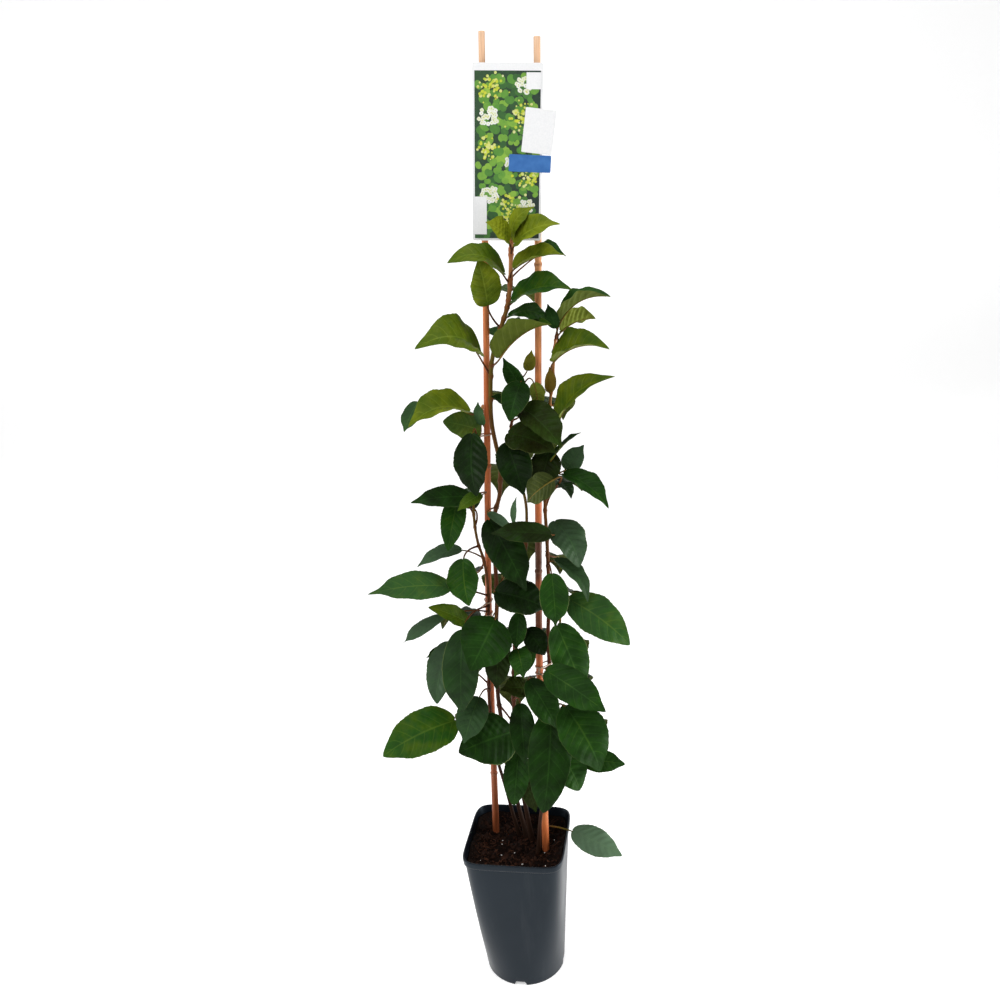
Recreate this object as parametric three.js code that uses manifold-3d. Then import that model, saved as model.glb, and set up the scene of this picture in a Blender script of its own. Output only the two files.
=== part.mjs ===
// A young Japanese hydrangea vine in its square climber's pot: five leafy stems tied to two
// bamboo canes, with a picture label across the cane tops.
// Millimetres, +Z up. The origin is the centre of the pot's underside.
// The front of the plant looks along -Y, and +X is to its right.

import * as THREE from 'three';
import { mergeVertices } from 'three/addons/utils/BufferGeometryUtils.js';
import Module from 'manifold-3d';

const wasm = await Module();
wasm.setup();

// Pot: a square rim with round corners that blends down to a round foot
const potTurn = THREE.MathUtils.degToRad(-10.8);
const potHeight = 181;
const rimHalf = 60;
const rimSquareness = 7;
const footRadius = 48;
const wall = 1.6;
const floorThickness = 2;
const lipDepth = 8;
const lipStep = 1.4;
const edgeRound = 0.6;
const footRound = 1.2;
const potSides = 36;
const wallStations = [0, 3, 62, 120, potHeight - lipDepth, potHeight];
const drainCount = 4;
const drainWidth = 13;
const drainHeight = 5;
const drainDepth = 24;

// Soil: fills the pot to a little under the rim, with holes for what stands in it
const fitGap = 0.4;
const soilBottom = 8;
const soilEdge = 166;
const soilTop = 164;
const soilBank = 8;
const soilBankPower = 6;
const soilBumps = 3;
const soilRings = 4;
const holeClearance = 0.5;
const holeTop = 190;
const holeStep = 30;

// Canes: [height, x, y] of the centre line, with the radius at the lower and upper end
const canes = {
  cane_left: {
    line: [
      [52, -31, 36], [166, -26.6, 32], [466, -14.8, 20], [600, -6.6, 15], [816, 6.6, 8],
      [1069, 20.4, 6],
    ],
    radius: [4.1, 3.1],
    knots: [250, 452, 640, 815, 960],
  },
  cane_right: {
    line: [
      [14, 26, -18], [166, 32.6, -11.5], [405, 38.6, -3], [595, 47.9, 0], [854, 62.2, 5],
      [1061, 72.6, 6],
    ],
    radius: [4.2, 3.3],
    knots: [318, 520, 706, 850, 1010],
  },
};
const caneSides = 8;
const caneStep = 75;
const knotRise = 0.7;
const knotHalf = 3;

// Leafy stems: [height, x, y] of the centre line, the radius at soil and tip, and the leaves.
// A leaf is [height where its petiole leaves the stem, blade base x, y, z, blade tip x, y, z,
// width, heading and upward tilt of its upper face in degrees, arch in percent of its length,
// fold of each half in degrees]. Heading 0 faces the front and 90 faces right.
const stems = {
  vine_left: {
    radius: [2.5, 2.2],
    line: [
      [150, 12, 18], [209, 4, 19], [258, -6, 20], [307, -9, 18], [356, -11, 15], [421, -9, 13],
      [484, -5, 11], [533, -3, 9], [569, -2, 8], [589, 1, 8], [607, 7, 7], [625, 9, 7], [646, 9, 6],
      [666, 6, 6], [687, 4, 5], [709, 4, 4], [738, 6, 3], [760, 10, 2], [791, 21, 0], [812, 28, -2],
      [841, 33, -3], [876, 36, -4],
    ],
    leaves: [
      [875, 37, -6, 879, 60, -16, 907, 22, -60, 10, 24, 10],
      [867, 33, -18, 877, 12, -30, 896, 32, 10, 48, 10, 20],
      [862, 40, -16, 874, 83, -34, 890, 34, 5, 48, 14, 24],
      [838, 38, -14, 850, 88, -30, 860, 33, 5, 62, 11, 34],
      [838, 59, 24, 856, 92, 22, 855, 27, 10, 60, 22, 30],
      [833, 25, -12, 846, -28, -26, 861, 36, -5, 55, 26, 20],
      [817, 30, 6, 825, 58, 46, 810, 42, 150, 52, 14, 18],
      [810, 35, -12, 818, 91, -36, 828, 42, 0, 58, 14, 26],
      [799, 30, -4, 802, 71, -12, 790, 30, 0, 68, 24, 12],
      [789, 8, -14, 817, 2, -28, 861, 36, 20, 10, 5, 20],
      [777, 24, 8, 783, 28, 52, 771, 42, -165, 38, 24, 12],
      [751, 17, -14, 762, 69, -36, 796, 56, 180, 84, 10, 44],
      [740, -5, -6, 766, -66, -40, 782, 55, 5, 52, 26, 25],
      [715, 18, 10, 720, 28, 52, 687, 42, 175, 52, 16, 16],
      [625, 14, 18, 636, 7, 66, 587, 40, 170, 48, 22, 10],
      [595, -6, -8, 593, 17, -26, 579, 13, 0, 50, 5, 30],
      [563, -5, -6, 582, 28, -40, 514, 42, 0, 38, 12, 12],
      [502, -9, -28, 475, -37, -72, 441, 58, 15, 40, 10, 10],
      [496, 5, 20, 510, 5, 70, 450, 48, -170, 34, 20, 12],
      [434, -11, -8, 471, -22, -16, 444, 26, 0, 40, 10, 10],
      [424, -1, 28, 423, -19, 80, 370, 44, -170, 36, 14, 16],
      [349, 0, -12, 328, -59, -42, 325, 62, 5, 40, 8, 10],
    ],
  },
  vine_side: {
    radius: [2.1, 1.3],
    line: [
      [150, 4, 24], [199, -5, 24], [247, -13, 21], [287, -19, 19], [326, -22, 18], [362, -22, 17],
      [408, -20, 15], [453, -17, 13], [487, -14, 11], [518, -14, 10], [538, -17, 10],
      [552, -21, 11], [570, -23, 12], [598, -22, 12], [626, -18, 11], [660, -12, 9], [687, -8, 8],
      [705, -5, 7],
    ],
    leaves: [
      [702, -20, -14, 707, -81, -38, 701, 47, 20, 62, 24, 34],
      [695, -6, -16, 694, -9, -18, 718, 13, -30, 20, 10, 10],
      [693, -10, 14, 694, -40, 46, 680, 34, -130, 58, 12, 10],
      [682, -10, -2, 685, -46, -22, 701, 32, 10, 30, 5, 10],
      [680, -72, -8, 719, -88, -18, 692, 20, -20, 30, 5, 10],
      [653, -17, -30, 685, -17, -42, 624, 40, -30, 30, 10, 12],
      [649, -9, 16, 656, -25, 44, 615, 32, -165, 36, 10, 18],
      [610, -13, -28, 621, -38, -42, 610, 16, -10, 40, 10, 18],
      [601, -26, -16, 616, -85, -42, 623, 26, -10, 36, 8, 16],
      [587, -39, -2, 609, -52, -34, 564, 28, 0, 30, 6, 18],
      [572, -22, 16, 593, -56, 62, 576, 44, -135, 58, 26, 14],
      [550, -38, -8, 541, -35, -24, 494, 40, -25, 22, 8, 20],
      [536, -41, 0, 551, -88, -16, 541, 20, -10, 50, 15, 25],
      [531, -26, 20, 516, -50, 66, 477, 36, -155, 45, 14, 12],
      [490, -58, -16, 516, -138, -56, 530, 34, -10, 40, 10, 14],
      [477, -44, -34, 466, -51, -54, 381, 42, -5, 30, 14, 15],
      [470, -67, -16, 479, -112, -34, 458, 18, -5, 52, 8, 20],
      [454, -37, -8, 466, -78, -30, 499, 24, -20, 50, 6, 18],
      [449, -33, 24, 453, -73, 70, 427, 46, -150, 52, 24, 10],
      [434, -62, -8, 442, -80, -34, 383, 34, -20, 30, 12, 15],
      [408, -65, 8, 428, -89, -2, 425, 14, -10, 50, 10, 15],
      [377, -35, 28, 387, -77, 74, 351, 44, -145, 56, 22, 12],
      [369, -33, -24, 380, -52, -54, 343, 36, -5, 30, 16, 14],
      [345, -39, 35, 325, -53, 78, 265, 40, -170, 50, 22, 16],
      [322, -64, -32, 359, -140, -70, 345, 54, -5, 45, 12, 12],
    ],
  },
  vine_middle: {
    radius: [2.8, 1.2],
    line: [
      [150, 19, 10], [223, 11, 8], [278, 8, 8], [331, 6, 10], [370, 7, 10], [422, 12, 8],
      [472, 18, 6], [518, 26, 5], [550, 32, 5], [576, 35, 5], [597, 35, 5], [618, 31, 4],
      [641, 23, 4], [661, 20, 4], [697, 26, 4], [729, 30, 4],
    ],
    leaves: [
      [729, 37, 2, 728, 20, -8, 760, 24, -20, 20, 5, 40],
      [729, 45, -2, 745, 50, -8, 766, 14, 10, 30, 10, 25],
      [712, 36, -18, 734, 22, -38, 700, 30, -5, 30, 14, 15],
      [700, 20, -6, 711, 5, -14, 722, 14, 0, 50, 10, 20],
      [691, 51, -4, 730, 52, -14, 704, 20, 150, 20, 10, 15],
      [691, 33, 12, 693, 55, 54, 676, 40, 160, 56, 14, 20],
      [684, 38, -14, 707, 74, -40, 669, 42, 0, 50, 10, 30],
      [664, 22, -2, 678, 68, -26, 661, 44, 0, 50, 12, 15],
      [657, 19, -12, 669, 32, -36, 620, 38, 0, 30, 12, 15],
      [636, 25, 14, 643, 34, 62, 615, 46, -175, 54, 26, 14],
      [567, 20, -24, 586, 24, -28, 616, 9, -40, 20, 5, 20],
      [550, 26, 16, 558, 32, 66, 501, 50, 175, 34, 16, 14],
      [508, -3, -19, 506, 50, -24, 484, 44, 0, 46, 14, 15],
      [460, 19, -12, 475, 13, -24, 438, 22, 0, 40, 10, 20],
      [435, -2, -16, 447, -12, -28, 392, 30, -10, 35, 12, 15],
      [428, 19, 18, 429, 38, 78, 378, 50, 165, 50, 24, 16],
      [415, 27, -10, 454, 45, -20, 427, 28, 10, 40, 10, 15],
      [410, 29, -20, 437, 9, -34, 410, 24, 10, 30, 12, 20],
      [393, 15, -32, 441, 19, -52, 417, 28, 0, 45, 30, 25],
      [370, 24, -14, 382, -7, -30, 393, 30, 0, 55, 14, 15],
      [361, 16, 20, 377, 8, 74, 305, 52, -175, 36, 16, 16],
      [357, 14, -20, 365, 14, -48, 308, 30, 0, 30, 12, 15],
      [305, 8, -10, 300, -2, -30, 242, 32, 0, 30, 12, 18],
      [291, 9, 20, 305, 22, 74, 236, 46, 170, 50, 24, 10],
      [278, 13, -5, 267, 24, -14, 219, 21, 0, 30, 5, 10],
    ],
  },
  vine_right: {
    radius: [2.9, 1.4],
    line: [
      [150, 27, 4], [225, 37, 2], [278, 43, 4], [330, 47, 5], [382, 49, 5], [433, 51, 5],
      [482, 54, 5], [518, 55, 5], [554, 55, 5], [583, 55, 5], [606, 57, 5], [634, 60, 4],
      [667, 62, 3], [705, 66, 2], [742, 71, 1], [775, 76, 0],
    ],
    leaves: [
      [775, 81, -9, 794, 131, -23, 816, 40, 0, 83, 17, 44],
      [765, 83, 12, 781, 119, 17, 791, 46, -170, 55, 10, 26],
      [761, 75, -17, 789, 68, -19, 813, 15, -20, 30, 10, 20],
      [738, 72, -12, 754, 127, -30, 766, 48, 10, 66, 17, 38],
      [732, 77, 10, 757, 113, 44, 766, 30, 140, 36, 10, 18],
      [719, 66, -8, 722, 67, -12, 748, 14, 10, 30, 10, 25],
      [705, 70, 10, 704, 83, 54, 676, 36, 155, 48, 26, 10],
      [667, 74, -8, 690, 132, -22, 736, 40, -20, 60, 18, 34],
      [662, 62, 14, 668, 57, 60, 630, 32, 172, 34, 10, 12],
      [645, 62, -6, 656, 48, -20, 620, 34, 10, 30, 12, 15],
      [634, 64, -14, 651, 95, -20, 680, 18, 10, 84, 5, 18],
      [632, 78, -6, 630, 120, -36, 599, 32, 10, 62, 14, 32],
      [629, 81, 8, 633, 100, 0, 660, 24, 10, 32, 8, 18],
      [618, 70, -2, 624, 83, -18, 607, 26, 60, 30, 10, 15],
      [600, 63, -32, 633, 34, -52, 617, 34, 170, 15, 10, 15],
      [588, 68, 14, 610, 101, 56, 593, 46, 140, 50, 16, 16],
      [563, 56, -28, 572, -5, -40, 582, 25, 0, 40, 8, 12],
      [554, 66, 2, 574, 87, -28, 532, 42, 25, 35, 18, 12],
      [536, 65, 16, 530, 71, 62, 489, 34, 160, 45, 14, 18],
      [523, 57, -28, 524, 57, -46, 471, 33, 5, 30, 10, 15],
      [523, 63, -8, 533, 95, -28, 491, 26, 40, 40, 20, 30],
      [492, 66, 26, 482, 100, 68, 444, 38, 135, 48, 14, 14],
      [420, 60, 18, 426, 85, 66, 372, 52, 150, 34, 18, 10],
      [363, 57, 18, 370, 94, 70, 331, 50, 140, 52, 24, 12],
      [298, 56, 20, 305, 74, 70, 234, 50, 150, 36, 16, 14],
      [189, 68, -14, 189, 121, -38, 169, 34, 15, 48, 6, 5],
    ],
  },
  vine_low: {
    radius: [2.2, 1.2],
    line: [
      [150, 22, -16], [200, 27, -18], [250, 34, -18], [290, 42, -18], [330, 50, -16],
      [370, 55, -15], [410, 60, -14], [450, 63, -13], [480, 65, -13], [512, 64, -12],
    ],
    leaves: [
      [485, 77, -16, 489, 137, -44, 444, 46, 15, 35, 12, 12],
      [477, 68, 10, 467, 120, 52, 439, 50, 145, 50, 16, 16],
      [450, 61, -20, 459, 85, -26, 381, 44, 12, 24, 5, 12],
      [410, 47, -40, 416, 104, -80, 385, 40, 10, 34, 6, 12],
      [380, 26, -24, 397, 53, -44, 347, 34, 10, 35, 12, 15],
      [352, 65, -48, 373, 96, -84, 315, 56, 15, 35, 14, 12],
      [347, 47, -30, 354, 31, -80, 264, 50, 6, 32, 14, 12],
      [329, 66, 8, 325, 109, 52, 282, 54, 130, 50, 18, 16],
      [323, 84, -8, 282, 130, -22, 282, 28, 10, 40, 10, 15],
      [302, 56, -14, 298, 76, -30, 256, 40, 20, 30, 12, 12],
    ],
  },
};
const stemSides = 5;
const stemStep = 28;
const stemRoot = 120;

// Leaf blade: an ovate outline with shallow saw teeth, folded and arched along its midrib
const bladeThickness = 1;
const baseRoundness = 0.46;
const tipTaper = 0.74;
const bladeDroop = 0.12;
const lobeLength = 0.06;
const toothDepth = 0.05;
const midribStations = [0, 0.3, 0.65, 1];
const lobeStation = 0.02;
const firstTooth = 0.14;
const toothSpan = 0.44;
const smallLeaf = 25;
const petioleStations = [0, 0.5, 1];
const petioleRadius = [1.25, 0.9];

// Ties: a loop of soft wire round a cane and the stem beside it
const ties = {
  tie_left_high: { height: 676, cane: 'cane_left', stem: 'vine_side' },
  tie_left_low: { height: 466, cane: 'cane_left', stem: 'vine_side' },
  tie_left_middle: { height: 482, cane: 'cane_left', stem: 'vine_side' },
  tie_right_low: { height: 397, cane: 'cane_right', stem: 'vine_right' },
  tie_right_middle: { height: 405, cane: 'cane_right', stem: 'vine_right' },
};
const tieRadius = 0.8;
const tieGap = 0.6;
const tieSides = 4;
const tieSteps = 14;

// Label: a card in front of the cane tops, held by two straps round the back of the canes
const labelCard = { centre: [37.5, 957.5], width: 68, height: 164, front: 0.2, lean: 4 };
const labelThickness = 0.8;
const strapHeights = [1018, 966];
const strapHeight = 9;
const strapThickness = 0.8;
const strapGap = 0.9;

// Tag: a white price card with a blue band, stuck on the label's right side
const tagCard = { centre: [69.4, 976], width: 30, height: 41, front: -0.8, lean: 10 };
const tagBand = { centre: [59, 947], width: 41, height: 16, front: -0.8, lean: 6 };
const tagThickness = 0.7;

const colours = {
  pot: 0x2b3138,
  soil: 0x2a1812,
  cane: 0xb8663a,
  leafyStem: 0x3c5f2c,
  tie: 0xcbb48a,
  label: 0x6f9a52,
  tagCard: 0xf2f3f3,
  tagBand: 0x2f6fb5,
};

// Value at a height on a line of [height, x, y] points, smooth through every point
function pointAt(line, height) {
  const last = line.length - 1;
  let i = 0;
  while (i < last - 1 && height > line[i + 1][0]) i += 1;
  const slope = (k, axis) => {
    const before = line[Math.max(k - 1, 0)];
    const after = line[Math.min(k + 1, last)];
    return (after[axis] - before[axis]) / (after[0] - before[0]);
  };
  const span = line[i + 1][0] - line[i][0];
  const u = (height - line[i][0]) / span;
  const along = (axis) => {
    const from = line[i][axis] * (1 + 2 * u) * (1 - u) ** 2 + line[i + 1][axis] * u * u * (3 - 2 * u);
    return from + span * (slope(i, axis) * u * (1 - u) ** 2 + slope(i + 1, axis) * u * u * (u - 1));
  };
  return new THREE.Vector3(along(1), along(2), height);
}

// A closed geometry from vertex positions and triangles
function meshed(points, triangles) {
  const geometry = new THREE.BufferGeometry();
  geometry.setAttribute('position', new THREE.Float32BufferAttribute(points.flatMap((p) => p.toArray()), 3));
  geometry.setIndex(triangles.flat());
  return geometry;
}

function toManifold(geometry) {
  const bare = geometry.clone();
  bare.deleteAttribute('normal');
  bare.deleteAttribute('uv');
  const merged = mergeVertices(bare, 1e-4);
  return new wasm.Manifold(new wasm.Mesh({
    numProp: 3,
    vertProperties: Float32Array.from(merged.attributes.position.array),
    triVerts: Uint32Array.from(merged.index.array),
  }));
}

function fromManifold(solid) {
  const mesh = solid.getMesh();
  const geometry = new THREE.BufferGeometry();
  geometry.setAttribute('position', new THREE.BufferAttribute(mesh.vertProperties, 3));
  geometry.setIndex(new THREE.BufferAttribute(mesh.triVerts, 1));
  return geometry;
}

// Rings of equal length become a closed skin; each ring runs anticlockwise seen from the far end
function skin(rings, closed = false) {
  const count = rings[0].length;
  const triangles = [];
  const last = closed ? rings.length : rings.length - 1;
  for (let i = 0; i < last; i += 1) {
    const low = i * count;
    const high = ((i + 1) % rings.length) * count;
    for (let k = 0; k < count; k += 1) {
      const next = (k + 1) % count;
      triangles.push([low + k, low + next, high + next], [low + k, high + next, high + k]);
    }
  }
  if (!closed) {
    const top = (rings.length - 1) * count;
    for (let k = 1; k < count - 1; k += 1) {
      triangles.push([0, k + 1, k], [top, top + k, top + k + 1]);
    }
  }
  return meshed(rings.flat(), triangles);
}

// A tube through centre points, each with its own radius, on a frame that never twists
function tube(centres, radii, sides, closed = false) {
  const last = centres.length - 1;
  let normal = null;
  const rings = centres.map((centre, i) => {
    const before = centres[closed ? (i + last) % (last + 1) : Math.max(i - 1, 0)];
    const after = centres[closed ? (i + 1) % (last + 1) : Math.min(i + 1, last)];
    const tangent = after.clone().sub(before).normalize();
    if (!normal) {
      normal = Math.abs(tangent.z) > 0.7 ? new THREE.Vector3(1, 0, 0) : new THREE.Vector3(0, 0, 1);
    }
    normal = normal.clone().addScaledVector(tangent, -normal.dot(tangent)).normalize();
    const across = tangent.clone().cross(normal);
    return Array.from({ length: sides }, (_, k) => {
      const angle = (2 * Math.PI * k) / sides;
      return centre.clone()
        .addScaledVector(normal, radii[i] * Math.cos(angle))
        .addScaledVector(across, radii[i] * Math.sin(angle));
    });
  });
  return skin(rings, closed);
}

function heightsBetween(low, high, step) {
  const count = Math.ceil((high - low) / step);
  return Array.from({ length: count + 1 }, (_, i) => low + ((high - low) * i) / count);
}

// One ring of the pot: a circle at squareness 2, a square with round corners above that
function potRing(half, squareness, height) {
  return Array.from({ length: potSides }, (_, k) => {
    const angle = (2 * Math.PI * k) / potSides;
    const spread = Math.abs(Math.cos(angle)) ** squareness + Math.abs(Math.sin(angle)) ** squareness;
    const reach = half / spread ** (1 / squareness);
    return new THREE.Vector3(reach * Math.cos(angle + potTurn), reach * Math.sin(angle + potTurn), height);
  });
}

// The pot's wall at a height: the round foot widens and squares off towards the rim, in flat
// bands between the wall's stations, so that the soil can follow the same bands inside
function potWall(height, inset) {
  const next = Math.max(1, wallStations.findIndex((station) => station >= height));
  const [low, high] = [wallStations[next - 1], wallStations[next]].map((station) => {
    const t = station / potHeight;
    const half = footRadius + (rimHalf - lipStep - footRadius) * t;
    return potRing(half - inset, 2 + (rimSquareness - 2) * t ** 1.3, station);
  });
  const share = (height - wallStations[next - 1]) / (wallStations[next] - wallStations[next - 1]);
  return low.map((point, k) => point.clone().lerp(high[k], share));
}

function pot() {
  const outside = wallStations.slice(1, -1);
  const inside = [...outside].reverse();
  const lipBottom = potHeight - lipDepth;
  const shell = skin([
    potWall(0, footRound),
    ...outside.map((height) => potWall(height, 0)),
    potRing(rimHalf - edgeRound, rimSquareness, lipBottom + lipStep),
    potRing(rimHalf, rimSquareness, potHeight - edgeRound),
    potRing(rimHalf - edgeRound, rimSquareness, potHeight),
    potRing(rimHalf - wall, rimSquareness, potHeight),
    ...inside.map((height) => potWall(height, wall)),
    potWall(floorThickness, wall + footRound),
  ]);
  let solid = toManifold(shell);
  for (let k = 0; k < drainCount; k += 1) {
    const slot = new THREE.BoxGeometry(drainDepth, drainWidth, 2 * drainHeight);
    slot.translate(footRadius, 0, 0);
    slot.rotateZ(potTurn + (2 * Math.PI * k) / drainCount);
    solid = solid.subtract(toManifold(slot));
  }
  return fromManifold(solid);
}

// Height of the soil's crumbly top, gentle mounds from three crossing waves
function soilHeight(x, y) {
  const broad = Math.sin(x / 9 + 1) * Math.cos(y / 8);
  const middling = 0.6 * Math.sin(x / 5 - y / 6);
  const fine = 0.5 * Math.cos(y / 4.3 + x / 11);
  return soilTop + (soilBumps * (broad + middling + fine)) / 2;
}

// Soil: level in the middle and banked up against the pot's wall
function soil() {
  const inset = wall + fitGap;
  const between = wallStations.filter((height) => height > soilBottom && height < soilEdge);
  const rings = [soilBottom, ...between, soilEdge].map((height) => potWall(height, inset));
  const edge = rings[rings.length - 1];
  for (let i = 0; i < soilRings; i += 1) {
    const share = 1 - i / soilRings;
    rings.push(edge.map((point) => {
      const [x, y] = [point.x * share, point.y * share];
      return new THREE.Vector3(x, y, soilHeight(x, y) + soilBank * share ** soilBankPower);
    }));
  }
  const points = rings.flat();
  const bottom = points.push(new THREE.Vector3(0, 0, soilBottom)) - 1;
  const middle = points.push(new THREE.Vector3(0, 0, soilHeight(0, 0))) - 1;
  const triangles = [];
  for (let i = 0; i < rings.length - 1; i += 1) {
    for (let k = 0; k < potSides; k += 1) {
      const next = (k + 1) % potSides;
      const low = i * potSides;
      const high = low + potSides;
      triangles.push([low + k, low + next, high + k], [low + next, high + next, high + k]);
    }
  }
  const top = (rings.length - 1) * potSides;
  for (let k = 0; k < potSides; k += 1) {
    const next = (k + 1) % potSides;
    triangles.push([bottom, next, k], [middle, top + k, top + next]);
  }
  let solid = toManifold(meshed(points, triangles));
  const drill = ({ line, radius }, low, sides) => {
    const centres = heightsBetween(low - 1, holeTop, holeStep).map((z) => pointAt(line, z));
    const radii = centres.map(() => radius[0] + holeClearance);
    solid = solid.subtract(toManifold(tube(centres, radii, sides)));
  };
  Object.values(canes).forEach((size) => drill(size, size.line[0][0], caneSides));
  Object.values(stems).forEach((size) => drill(size, stemRoot, stemSides));
  return fromManifold(solid);
}

// Radius at a height of something that tapers evenly from its lower to its upper end
function taper(radius, low, high, height) {
  return radius[0] + ((radius[1] - radius[0]) * (height - low)) / (high - low);
}

function cane({ line, radius, knots }) {
  const low = line[0][0];
  const high = line[line.length - 1][0];
  const plain = heightsBetween(low, high, caneStep);
  const clear = plain.filter((z) => knots.every((knot) => Math.abs(z - knot) > 3 * knotHalf));
  const stations = clear.map((z) => [z, 0]);
  knots.forEach((knot) => stations.push([knot - knotHalf, 0], [knot, knotRise], [knot + knotHalf, 0]));
  stations.sort((a, b) => a[0] - b[0]);
  const centres = stations.map(([z]) => pointAt(line, z));
  const radii = stations.map(([z, rise]) => taper(radius, low, high, z) + rise);
  return tube(centres, radii, caneSides);
}

// Half width of a blade, 1 at its widest, from blade base (0) to tip (1)
function ovate(t) {
  const widest = baseRoundness / (baseRoundness + tipTaper);
  const peak = widest ** baseRoundness * (1 - widest) ** tipTaper;
  return (t ** baseRoundness * (1 - t) ** tipTaper) / peak;
}

function leafFrame([, bx, by, bz, tx, ty, tz, width, heading, tilt, arch, fold]) {
  const base = new THREE.Vector3(bx, by, bz);
  const axis = new THREE.Vector3(tx, ty, tz).sub(base);
  const length = axis.length();
  axis.normalize();
  const turn = THREE.MathUtils.degToRad(heading);
  const rise = THREE.MathUtils.degToRad(tilt);
  const up = new THREE.Vector3(Math.sin(turn), -Math.cos(turn), 0).multiplyScalar(Math.cos(rise));
  up.z = Math.sin(rise);
  up.addScaledVector(axis, -up.dot(axis)).normalize();
  const side = up.clone().cross(axis);
  const folded = THREE.MathUtils.degToRad(fold);
  // Point at t along the midrib and q across, -1 and 1 being the two margins
  const at = (t, q, tooth = 0) => {
    const half = (width / 2) * ovate(t) * (1 + toothDepth * tooth);
    const bulge = (length * arch * 4 * t * (1 - t)) / 100;
    const lift = bulge + half * (Math.abs(q) * Math.sin(folded) - bladeDroop * q * q);
    const along = length * (t - lobeLength * Math.abs(q) * (1 - t) ** 6);
    return base.clone()
      .addScaledVector(axis, along)
      .addScaledVector(up, lift)
      .addScaledVector(side, half * q * Math.cos(folded));
  };
  return { base, up, at };
}

// Stations along one margin and their teeth: a lobe at the base, then tooth and notch in turn
function marginOf(width) {
  const teeth = width > smallLeaf ? 3 : 2;
  const spacing = (1 - firstTooth) / teeth;
  const stations = [[0, 0], [lobeStation, 0]];
  for (let k = 0; k < teeth; k += 1) {
    const tip = firstTooth + spacing * k;
    stations.push([tip, 1], [tip + toothSpan * spacing, -1]);
  }
  return [...stations, [1, 0]];
}

// Triangles between two lines of vertices, walked by their stations; a shared end gives none
function strip(inner, outer, marginStations) {
  const triangles = [];
  let i = 0;
  let j = 0;
  while (i < inner.length - 1 || j < outer.length - 1) {
    const stepOuter = i === inner.length - 1
      || (j < outer.length - 1 && marginStations[j + 1] <= midribStations[i + 1]);
    if (stepOuter) {
      triangles.push([inner[i], outer[j + 1], outer[j]]);
      j += 1;
    } else {
      triangles.push([inner[i], inner[i + 1], outer[j]]);
      i += 1;
    }
  }
  return triangles;
}

// A leaf as one skin: a four-sided petiole runs in a curve from the stem's centre and opens into
// the blade, whose two faces have the same triangles half a thickness either side of one sheet
function leaf(row, line) {
  const { base, up, at } = leafFrame(row);
  const root = pointAt(line, row[0]);
  const inward = at(0.05, 0).sub(base).normalize();
  const bend = base.clone().addScaledVector(inward, -base.distanceTo(root) / 2);
  const curve = new THREE.QuadraticBezierCurve3(root, bend, base);
  const points = [];
  const triangles = [];
  let normal = up;
  const rings = [...petioleStations].reverse().map((t) => {
    const tangent = curve.getTangent(t);
    normal = normal.clone().addScaledVector(tangent, -normal.dot(tangent)).normalize();
    const across = tangent.clone().cross(normal);
    const radius = petioleRadius[0] + (petioleRadius[1] - petioleRadius[0]) * t;
    return [normal, across, normal.clone().negate(), across.clone().negate()]
      .map((way) => points.push(curve.getPoint(t).addScaledVector(way, radius)) - 1);
  });
  rings.slice(1).forEach((low, i) => {
    const high = rings[i];
    low.forEach((corner, k) => {
      const next = (k + 1) % low.length;
      triangles.push([corner, low[next], high[next]], [corner, high[next], high[k]]);
    });
  });
  const end = rings[rings.length - 1];
  triangles.push([end[0], end[2], end[1]], [end[0], end[3], end[2]]);

  const [top, left, bottom, right] = rings[0];
  const both = (t, q, tooth) => [0.5, -0.5]
    .map((share) => points.push(at(t, q, tooth).addScaledVector(up, share * bladeThickness)) - 1);
  const midrib = [[top, bottom], ...midribStations.slice(1).map((t) => both(t, 0))];
  const margin = marginOf(row[7]);
  const stations = margin.map(([t]) => t);
  [[left, -1], [right, 1]].forEach(([corner, q]) => {
    const inner = margin.slice(1, -1).map(([t, tooth]) => both(t, q, tooth));
    const edge = [[corner, corner], ...inner, midrib[midrib.length - 1]];
    const faceOf = (level) => {
      const [inside, outside] = [midrib, edge].map((pairs) => pairs.map((pair) => pair[level]));
      return strip(inside, outside, stations);
    };
    const rim = edge.slice(1).flatMap(([high, low], j) => {
      const [highBefore, lowBefore] = edge[j];
      return [[highBefore, high, low], [highBefore, low, lowBefore]];
    });
    const facingUp = [...faceOf(0), ...rim, ...faceOf(1).map(([a, b, c]) => [a, c, b])];
    triangles.push(...facingUp.map(([a, b, c]) => (q > 0 ? [a, b, c] : [a, c, b])));
  });
  return meshed(points, triangles.filter(([a, b, c]) => a !== b && b !== c && a !== c));
}

function leafyStem({ line, radius, leaves }) {
  const high = line[line.length - 1][0];
  const heights = heightsBetween(stemRoot, high, stemStep);
  const centres = heights.map((z) => pointAt(line, z));
  const radii = heights.map((z) => taper(radius, stemRoot, high, z));
  const stem = toManifold(tube(centres, radii, stemSides));
  return fromManifold(leaves.reduce((solid, row) => solid.add(toManifold(leaf(row, line))), stem));
}

// A loop round two round things: the farthest point of either in each direction
function tie({ height, cane: caneName, stem: stemName }) {
  const { line, radius } = canes[caneName];
  const stem = stems[stemName];
  const clear = tieRadius + tieGap;
  const caneRadius = taper(radius, line[0][0], line[line.length - 1][0], height);
  const round = [
    [pointAt(line, height), caneRadius + clear],
    [pointAt(stem.line, height), stem.radius[0] + clear],
  ];
  const centres = Array.from({ length: tieSteps }, (_, k) => {
    const angle = (2 * Math.PI * k) / tieSteps;
    const way = new THREE.Vector3(Math.cos(angle), Math.sin(angle), 0);
    const reach = ([centre, size]) => centre.dot(way) + size;
    const [centre, size] = reach(round[0]) > reach(round[1]) ? round[0] : round[1];
    return centre.clone().addScaledVector(way, size);
  });
  return tube(centres, centres.map(() => tieRadius), tieSides, true);
}

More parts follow.
